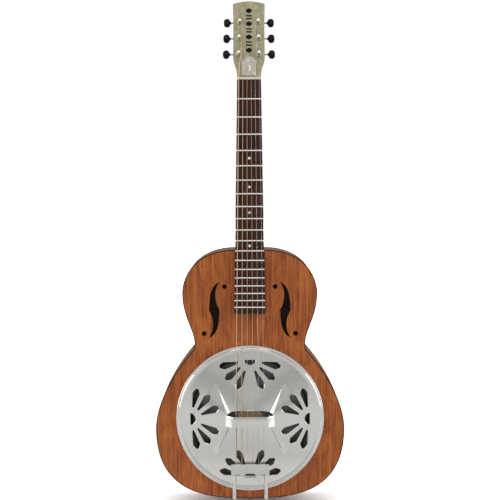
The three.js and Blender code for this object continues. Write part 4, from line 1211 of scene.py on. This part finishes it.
def make_post(number, post_at, key_at):
    """The string post with its brass gear and the screw that holds the gear on."""
    profile = [
        (0, key_at.z - 1.7), (2.9, key_at.z - 1.7), (3, key_at.z - 1.4), (3, 2.6), (2.95, 3),
        (2.62, 3.7), (2.5, 4.6), (2.5, 6.2), (2.62, 6.9), (2.95, 7.4), (3, 7.7), (3, 8.5),
        (2.8, 9.1), (2.3, 9.45), (1.4, 9.6), (0, 9.65),
    ]
    centre = Matrix.Translation((post_at.x, post_at.y, 0))
    body = f"tuner_post_{number}"
    shaft = turned(profile, 40, centre)
    piece(f"post_{number}", shaft, HEAD, BRIGHT_CHROME, [body], body, crease=40)
    twist = WORM_PITCH / (2 * math.pi * WORM_RADIUS * GEAR_RADIUS)
    rings = []
    for z, inset in ((-1.5, 0.18), (-1.32, 0), (0, 0), (1.32, 0), (1.5, 0.18)):
        ring = []
        for i in range(GEAR_TEETH):
            middle = math.pi / 2 + (i + 0.5) * 2 * math.pi / GEAR_TEETH
            tooth = [(4.15, -0.17), (4.35, -0.135), (5.4, -0.07), (5.55, -0.045), (5.55, 0.045), (5.4, 0.07),
                     (4.35, 0.135), (4.15, 0.17)]
            for r, offset in tooth:
                angle = middle + offset + twist * z
                ring.append(((r - inset) * math.cos(angle), (r - inset) * math.sin(angle), z))
        rings.append(ring)
    gear = add_rings(bmesh.new(), rings)
    spot = HEAD @ Matrix.Translation((post_at.x, post_at.y, key_at.z))
    piece(f"gear_{number}", gear, spot, BRASS, (), body, crease=30)
    under = spot @ Matrix.Translation((0, 0, -1.5)) @ Matrix.Rotation(math.pi, 4, "X")
    turn = under @ Matrix.Rotation(0.9 * number, 4, "Z")
    piece(f"gear_screw_{number}", screw_head(2.1, 0.9, 0.4), turn, STEEL, (), body)


def make_ferrule(number, post_at):
    profile = [
        (3.25, -7.5), (4.1, -7.5), (4.2, -7.2), (4.2, 0.02), (5.3, 0.02), (5.45, 0.25), (5.4, 0.75),
        (5.0, 1.25),
        (4.4, 1.6), (3.8, 1.85), (3.4, 1.85), (3.25, 1.7),
    ]
    centre = Matrix.Translation((post_at.x, post_at.y, 0))
    # The ferrules wear the nickel with painted shade.
    piece(f"ferrule_{number}", turned(profile, 48, centre, closed=True), HEAD, SHADED_NICKEL,
          [f"tuner_ferrule_{number}"], crease=40)


def make_tuner_plate(sign):
    """One long base plate with rounded ends, its lugs and its screws."""
    side = [t for t in TUNERS if t[3] == sign]
    high, low = BACK_Z - 0.03, BACK_Z - 1.5
    inner, outer, start, end = 7.6, 28.4, 32.6, 129
    middle = (inner + outer) / 2
    half = (outer - inner) / 2
    outline = [(inner, start + half * 0.5)]
    outline += arc(middle, start + half * 0.5, half, 180, 360, 16)[1:]
    outline += arc(middle, end - half * 0.5, half, 0, 180, 16)
    outline = [(sign * x, min(max(y, start), end)) for x, y in outline]
    holes = [circle(post.x, post.y, 3.5, 24) for _, post, _, _ in side]
    plate = prism([outline] + holes, low, high)
    word = "right" if sign > 0 else "left"
    piece(f"base_plate_{word}", plate, HEAD, BRIGHT_CHROME, [f"tuner_plate_{word}"], bevel=0.3)
    for number, post, key, _ in side:
        for k, offset in enumerate((-6.4, 6.4)):
            make_lug(f"lug_{number}_{k + 1}", post.x + offset, key.y, key.z, low)
    first, second, third = (post.y for _, post, _, _ in side)
    gaps = [start + 4, (first + second) / 2 - 4, (second + third) / 2 - 4, end - 3.4]
    for k, y in enumerate(gaps):
        spot = HEAD @ Matrix.Translation((sign * middle, y, low)) @ Matrix.Rotation(math.pi, 4, "X")
        turn = spot @ Matrix.Rotation(k * 0.8, 4, "Z")
        head = screw_head(1.9, 0.8, 0.35)
        piece(f"plate_screw_{word}_{k + 1}", head, turn, BRIGHT_CHROME)


def make_lug(name, x, y, z, plate_low):
    """A bearing lug bent out of the plate, with a round end and a bored hole."""
    half = 3.3
    outline = [(-half, plate_low - z + 0.1)] + [(a, b) for a, b in arc(0, 0.2, half, 180, 360, 14)]
    outline += [(half, plate_low - z + 0.1)]
    bm = prism([outline, circle(0, 0, 1.75, 20)], -0.6, 0.6)
    turn = Matrix(((0, 0, 1, 0), (1, 0, 0, 0), (0, 1, 0, 0), (0, 0, 0, 1)))
    piece(name, bm, HEAD @ Matrix.Translation((x, y, z)) @ turn, BRIGHT_CHROME, bevel=0.2)


# ---------------------------------------------------------------- strings


def make_string(i):
    """One string: over the nut and saddle to its ball, with its wraps on the post."""
    number, post_at, _, sign = TUNERS[i]
    radius = STRING_DIAMETERS[i] / 2
    floor = NUT_BOARD_Z + 1.2
    nut_x, saddle_x = string_x(i, NUT_SPREAD), string_x(i, SADDLE_SPREAD)
    reach = 3 + radius
    entry_z = 3.2 + radius + 2.2 * (2 * radius + 0.05)
    leave = HEAD_LOCAL @ Vector((post_at.x - sign * reach, post_at.y + 0.4, entry_z))
    path = [leave, Vector((nut_x, HEAD_Y - 0.2, floor + radius - 0.7))]
    path += [Vector((nut_x, NUT_Y + 2.6, floor + radius - 0.1)), Vector((nut_x, NUT_Y + 0.3, floor + radius))]
    saddle_z = SADDLE_TOP + 0.05 + radius
    near, far = path[-1], Vector((saddle_x, SADDLE_Y + 1.2, saddle_z))
    path += [near.lerp(far, k / 24) for k in range(1, 24)]
    path += [far, Vector((saddle_x, SADDLE_Y, saddle_z + 0.03))]
    path += [Vector((saddle_x, SADDLE_Y - 1.2, saddle_z - 0.12))]
    path += [Vector((saddle_x, TAILPIECE_Y - 3.5, TAILPIECE_STRING_Z))]
    bm = bmesh.new()
    add_tube(bm, path, radius, 12)
    ball_profile = [(0, -1.6), (0.9, -1.6), (1.7, -1.3), (1.9, -0.9), (1.55, -0.4), (1.4, 0), (1.55, 0.4),
                    (1.9, 0.9), (1.7, 1.3), (0.9, 1.6), (0, 1.6)]
    ball_at = Matrix.Translation((saddle_x, TAILPIECE_Y - 4.4, TAILPIECE_STRING_Z))
    add_turned(bm, ball_profile, 20, ball_at @ Matrix.Rotation(math.pi / 2, 4, "Y"))
    wound = STRING_DIAMETERS[i] > 0.5
    material, slot = (BRONZE, "bronze_wound") if wound else (PLAIN_WIRE, "plain_steel")
    piece(f"wire_{number}", bm, BENCH, material, [f"string_{number}"], crease=60)
    turns = []
    per_turn = 20
    count = int(2.5 * per_turn)
    for k in range(count + 1):
        angle = 2 * math.pi * k / per_turn
        height = entry_z - (2 * radius + 0.04) * k / per_turn
        across = -sign * math.cos(angle)
        turns.append(Vector((post_at.x + reach * across, post_at.y + reach * math.sin(angle), height)))
    wraps = add_tube(bmesh.new(), turns, radius, 10)
    piece(f"wire_wraps_{number}", wraps, HEAD, material, (), f"tuner_post_{number}", crease=60)


# ---------------------------------------------------------------- tail


def make_tailpiece():
    """A folded plate that holds the ball ends, on two arms that hook over the tail."""
    half, front, back = 36.2, TAILPIECE_Y, 47.1
    plate_low, plate_high = 13.8, 15.2
    outline = soften([(-half, back), (half, back), (half, front), (-half, front)], 1.2, 3)
    holes = [soften([(-10.4, 48.7), (10.4, 48.7), (10.4, 52.7), (-10.4, 52.7)], 0.6, 2)]
    for x in (15.5, 22.8, 26.8):
        holes += [circle(x, 50.5, 1.2, 16), circle(-x, 50.5, 1.2, 16)]
    plate = prism([outline] + holes, plate_low, plate_high)
    piece("tailpiece_plate", plate, BENCH, CHROME, ["tailpiece"], bevel=0.45, steps=3)
    lip = bmesh.new()
    edges = [-half + 0.4]
    for i in range(6):
        x = string_x(i, SADDLE_SPREAD)
        edges += [x - 1.1, x + 1.1]
    edges.append(half - 0.4)
    low, notch = 9.6, 12.8
    outline = [(half - 0.4, plate_low + 0.3), (-half + 0.4, plate_low + 0.3)]
    for a, b in zip(edges[0::2], edges[1::2]):
        outline += [(a, notch), (a, low), (b, low), (b, notch)]
    add_prism(lip, [outline], 0, 1.2)
    stand = BENCH @ Matrix.Translation((0, front, 0)) @ Matrix.Rotation(math.pi / 2, 4, "X")
    piece("tailpiece_lip", lip, stand, CHROME, bevel=0.2)
    for sign in (-1, 1):
        make_tail_arm(sign)
    foot = prism([soften([(-34.6, -53), (34.6, -53), (34.6, -34), (-34.6, -34)], 3, 5),
                  circle(0, -BODY_DEPTH / 2, 3.3, 24)], 0.82, 2.2)
    flat = BENCH @ Matrix.Rotation(math.pi / 2, 4, "X")
    piece("tailpiece_foot", foot, flat, CHROME, bevel=0.3)


def make_tail_arm(sign):
    """One arm as a swept flat bar that widens towards the tail and bends over it."""
    path = [(51, 14.5), (44, 13.1), (35, 10.9), (26, 8.9), (18, 7.4), (10, 6.1), (5, 5.2)]
    path += [(x, z) for x, z in arc(1.2, 1.9, 2.75, 75, 180, 10)]
    path += [(-1.5, -4), (-1.5, -16), (-1.5, -28), (-1.5, -40), (-1.5, -52)]
    rings = []
    for i, (y, z) in enumerate(path):
        before, after = path[max(i - 1, 0)], path[min(i + 1, len(path) - 1)]
        tangent = Vector((0, after[0] - before[0], after[1] - before[1])).normalized()
        normal = Vector((0, tangent.z, -tangent.y))
        half = 3.6 * (1 - 0.35 * max(0, min(1, y / 51)))
        ring = []
        for a, b in ((1, -1), (1, 1), (-1, 1), (-1, -1)):
            for c, d in ((0.86, 1), (1, 0.5)) if a * b > 0 else ((1, 0.5), (0.86, 1)):
                ring.append(Vector((sign * 30.2 + a * half * c, y, z)) + normal * (b * d * 0.7))
        rings.append(ring)
    bm = add_rings(bmesh.new(), rings)
    word = "right" if sign > 0 else "left"
    piece(f"tailpiece_arm_{word}", bm, BENCH, CHROME, crease=40)


def make_strap_button():
    length = TAIL_Z / MM
    profile = [
        (0, -length), (5.4, -length), (6.2, -length + 0.12), (6.8, -length + 0.6), (7, -length + 1.2),
        (6.9, -11.2), (6.2, -10.6), (5, -9.7), (4.4, -8.6), (4.2, -7), (4.3, -5.2), (4.9, -3.8),
        (5.8, -3), (6.2, -2.6), (3, -2.6),
        (3, 12), (0, 12),
    ]
    matrix = BENCH @ Matrix.Translation((0, 0, -BODY_DEPTH / 2)) @ Matrix.Rotation(-math.pi / 2, 4, "X")
    piece("turned_button", turned(profile, 64), matrix, BRIGHT_CHROME, ["strap_button"], crease=35)


# ---------------------------------------------------------------- what stays as CAD


def paint_node(node, material):
    obj = frame["nodes"][node]
    obj.data.materials.clear()
    obj.data.materials.append(material)


def paint_inner_parts():
    for node in ("neck_block", "tail_block", "soundwell"):
        paint_node(node, INNER_WOOD)
    paint_node("neck_stick", SHADED_MAPLE)
    paint_node("truss_rod", STEEL)
    paint_node("truss_nut", BRASS)
    paint_node("biscuit_screw", BRIGHT_CHROME)


# ---------------------------------------------------------------- light, floor, camera


def make_light(name, place, target, width, height, power):
    data = bpy.data.lights.new(name, "AREA")
    data.shape = "RECTANGLE"
    data.size = width
    data.size_y = height
    data.energy = power
    lamp = bpy.data.objects.new(name, data)
    lamp.location = place
    lamp.rotation_euler = (Vector(target) - Vector(place)).to_track_quat("-Z", "Y").to_euler()
    lamp.visible_camera = False
    bpy.context.scene.collection.objects.link(lamp)


FRONT_WORLD = 0.58
BACK_WORLD = 1.02
# Painted shade: the paper in front of the guitar is painted grey, so the metal mirrors a dim front.
SHADED_FRONT_PAPER = (gray(0.54), gray(0.57))
BACK_PAPER = gray(0.93)
PAPER_TURNS = (-0.24, -0.1)
FLOOR_REACH = 14
LIGHT_TARGET = (0, 0, 0.45)
CAMERA_PLACE = (0.0008, -1.6876, 0.6088)
CAMERA_TIP = math.radians(4.18)
CAMERA_ROLL = math.radians(-0.182)
CAMERA_LENS = 63.48


def make_world():
    """White behind the guitar and soft grey in front, so the metal has something to reflect."""
    world = bpy.data.worlds.new("studio")
    world.use_nodes = True
    tree = world.node_tree
    coords = tree.nodes.new("ShaderNodeTexCoord")
    split = tree.nodes.new("ShaderNodeSeparateXYZ")
    spread = tree.nodes.new("ShaderNodeMapRange")
    spread.inputs["From Min"].default_value = -0.25
    spread.inputs["From Max"].default_value = 0.35
    spread.inputs["To Min"].default_value = FRONT_WORLD
    spread.inputs["To Max"].default_value = BACK_WORLD
    tree.links.new(coords.outputs["Generated"], split.inputs[0])
    tree.links.new(split.outputs["Y"], spread.inputs["Value"])
    tree.links.new(spread.outputs[0], tree.nodes["Background"].inputs["Strength"])
    tree.nodes["Background"].inputs["Color"].default_value = (1, 1, 1, 1)
    bpy.context.scene.world = world


def make_floor():
    """Pale paper with painted shade: greyer in front of the guitar, where the metal mirrors it."""
    floor = bmesh.new()
    reach = FLOOR_REACH
    corners = [(-reach, -reach, 0), (reach, -reach, 0), (reach, reach, 0), (-reach, reach, 0)]
    floor.faces.new([floor.verts.new(c) for c in corners])
    mesh = bpy.data.meshes.new("floor")
    floor.to_mesh(mesh)
    floor.free()
    paint = Paint("floor_paper", gray(0.92), 0.9)
    soft = paint.noise((3, 3, 3), 2)
    split = paint.add("ShaderNodeSeparateXYZ")
    paint.link(paint.place, split.inputs[0])
    shade = paint.mix(paint.spread(soft, 0, 1), *SHADED_FRONT_PAPER)
    behind = paint.spread(split.outputs["Y"], 0, 1, *PAPER_TURNS)
    paint.color(paint.mix(behind, shade, BACK_PAPER))
    mesh.materials.append(paint.material)
    obj = bpy.data.objects.new("floor", mesh)
    bpy.context.scene.collection.objects.link(obj)


def make_studio():
    """Soft banks in front, strips at the sides for the metal's edges, a ceiling for the floor."""
    middle = LIGHT_TARGET
    make_world()
    make_light("left_bank", (-1.7, -1.1, 0.7), middle, 0.9, 1.6, 6)
    make_light("right_bank", (1.7, -1.1, 0.7), middle, 0.9, 1.6, 3.6)
    make_light("top_bank", (0, -1.3, 2.3), middle, 1.6, 0.9, 10)
    make_light("left_strip", (-2.2, -0.1, 0.4), middle, 0.8, 1.8, 14)
    make_light("right_strip", (2.2, -0.1, 0.4), middle, 0.8, 1.8, 14)
    make_light("ceiling", (0, 7, 1.9), (0, 7, 0), 16, 13, 900)
    make_floor()


def make_camera():
    """A little above the middle of the guitar, tipped down by four degrees."""
    data = bpy.data.cameras.new("camera")
    data.sensor_width = 36
    data.lens = CAMERA_LENS
    camera = bpy.data.objects.new("camera", data)
    camera.location = CAMERA_PLACE
    tip = Matrix.Rotation(math.pi / 2 - CAMERA_TIP, 3, "X")
    camera.rotation_euler = (tip @ Matrix.Rotation(CAMERA_ROLL, 3, "Z")).to_euler()
    bpy.context.scene.collection.objects.link(camera)
    bpy.context.scene.camera = camera


make_studio()
make_camera()
bpy.context.scene.view_settings.view_transform = "Standard"
make_body()
make_screen(-1)
make_screen(1)
make_cover()
make_cone()
make_neck()
make_head_face()
make_truss_parts()
make_board()
make_nut()
for number, post_at, key_at, sign in TUNERS:
    make_knob(number, key_at, sign)
    make_worm(number, post_at, key_at, sign)
    make_post(number, post_at, key_at)
    make_ferrule(number, post_at)
for sign in (-1, 1):
    make_tuner_plate(sign)
for index in range(6):
    make_string(index)
make_tailpiece()
make_strap_button()
paint_inner_parts()
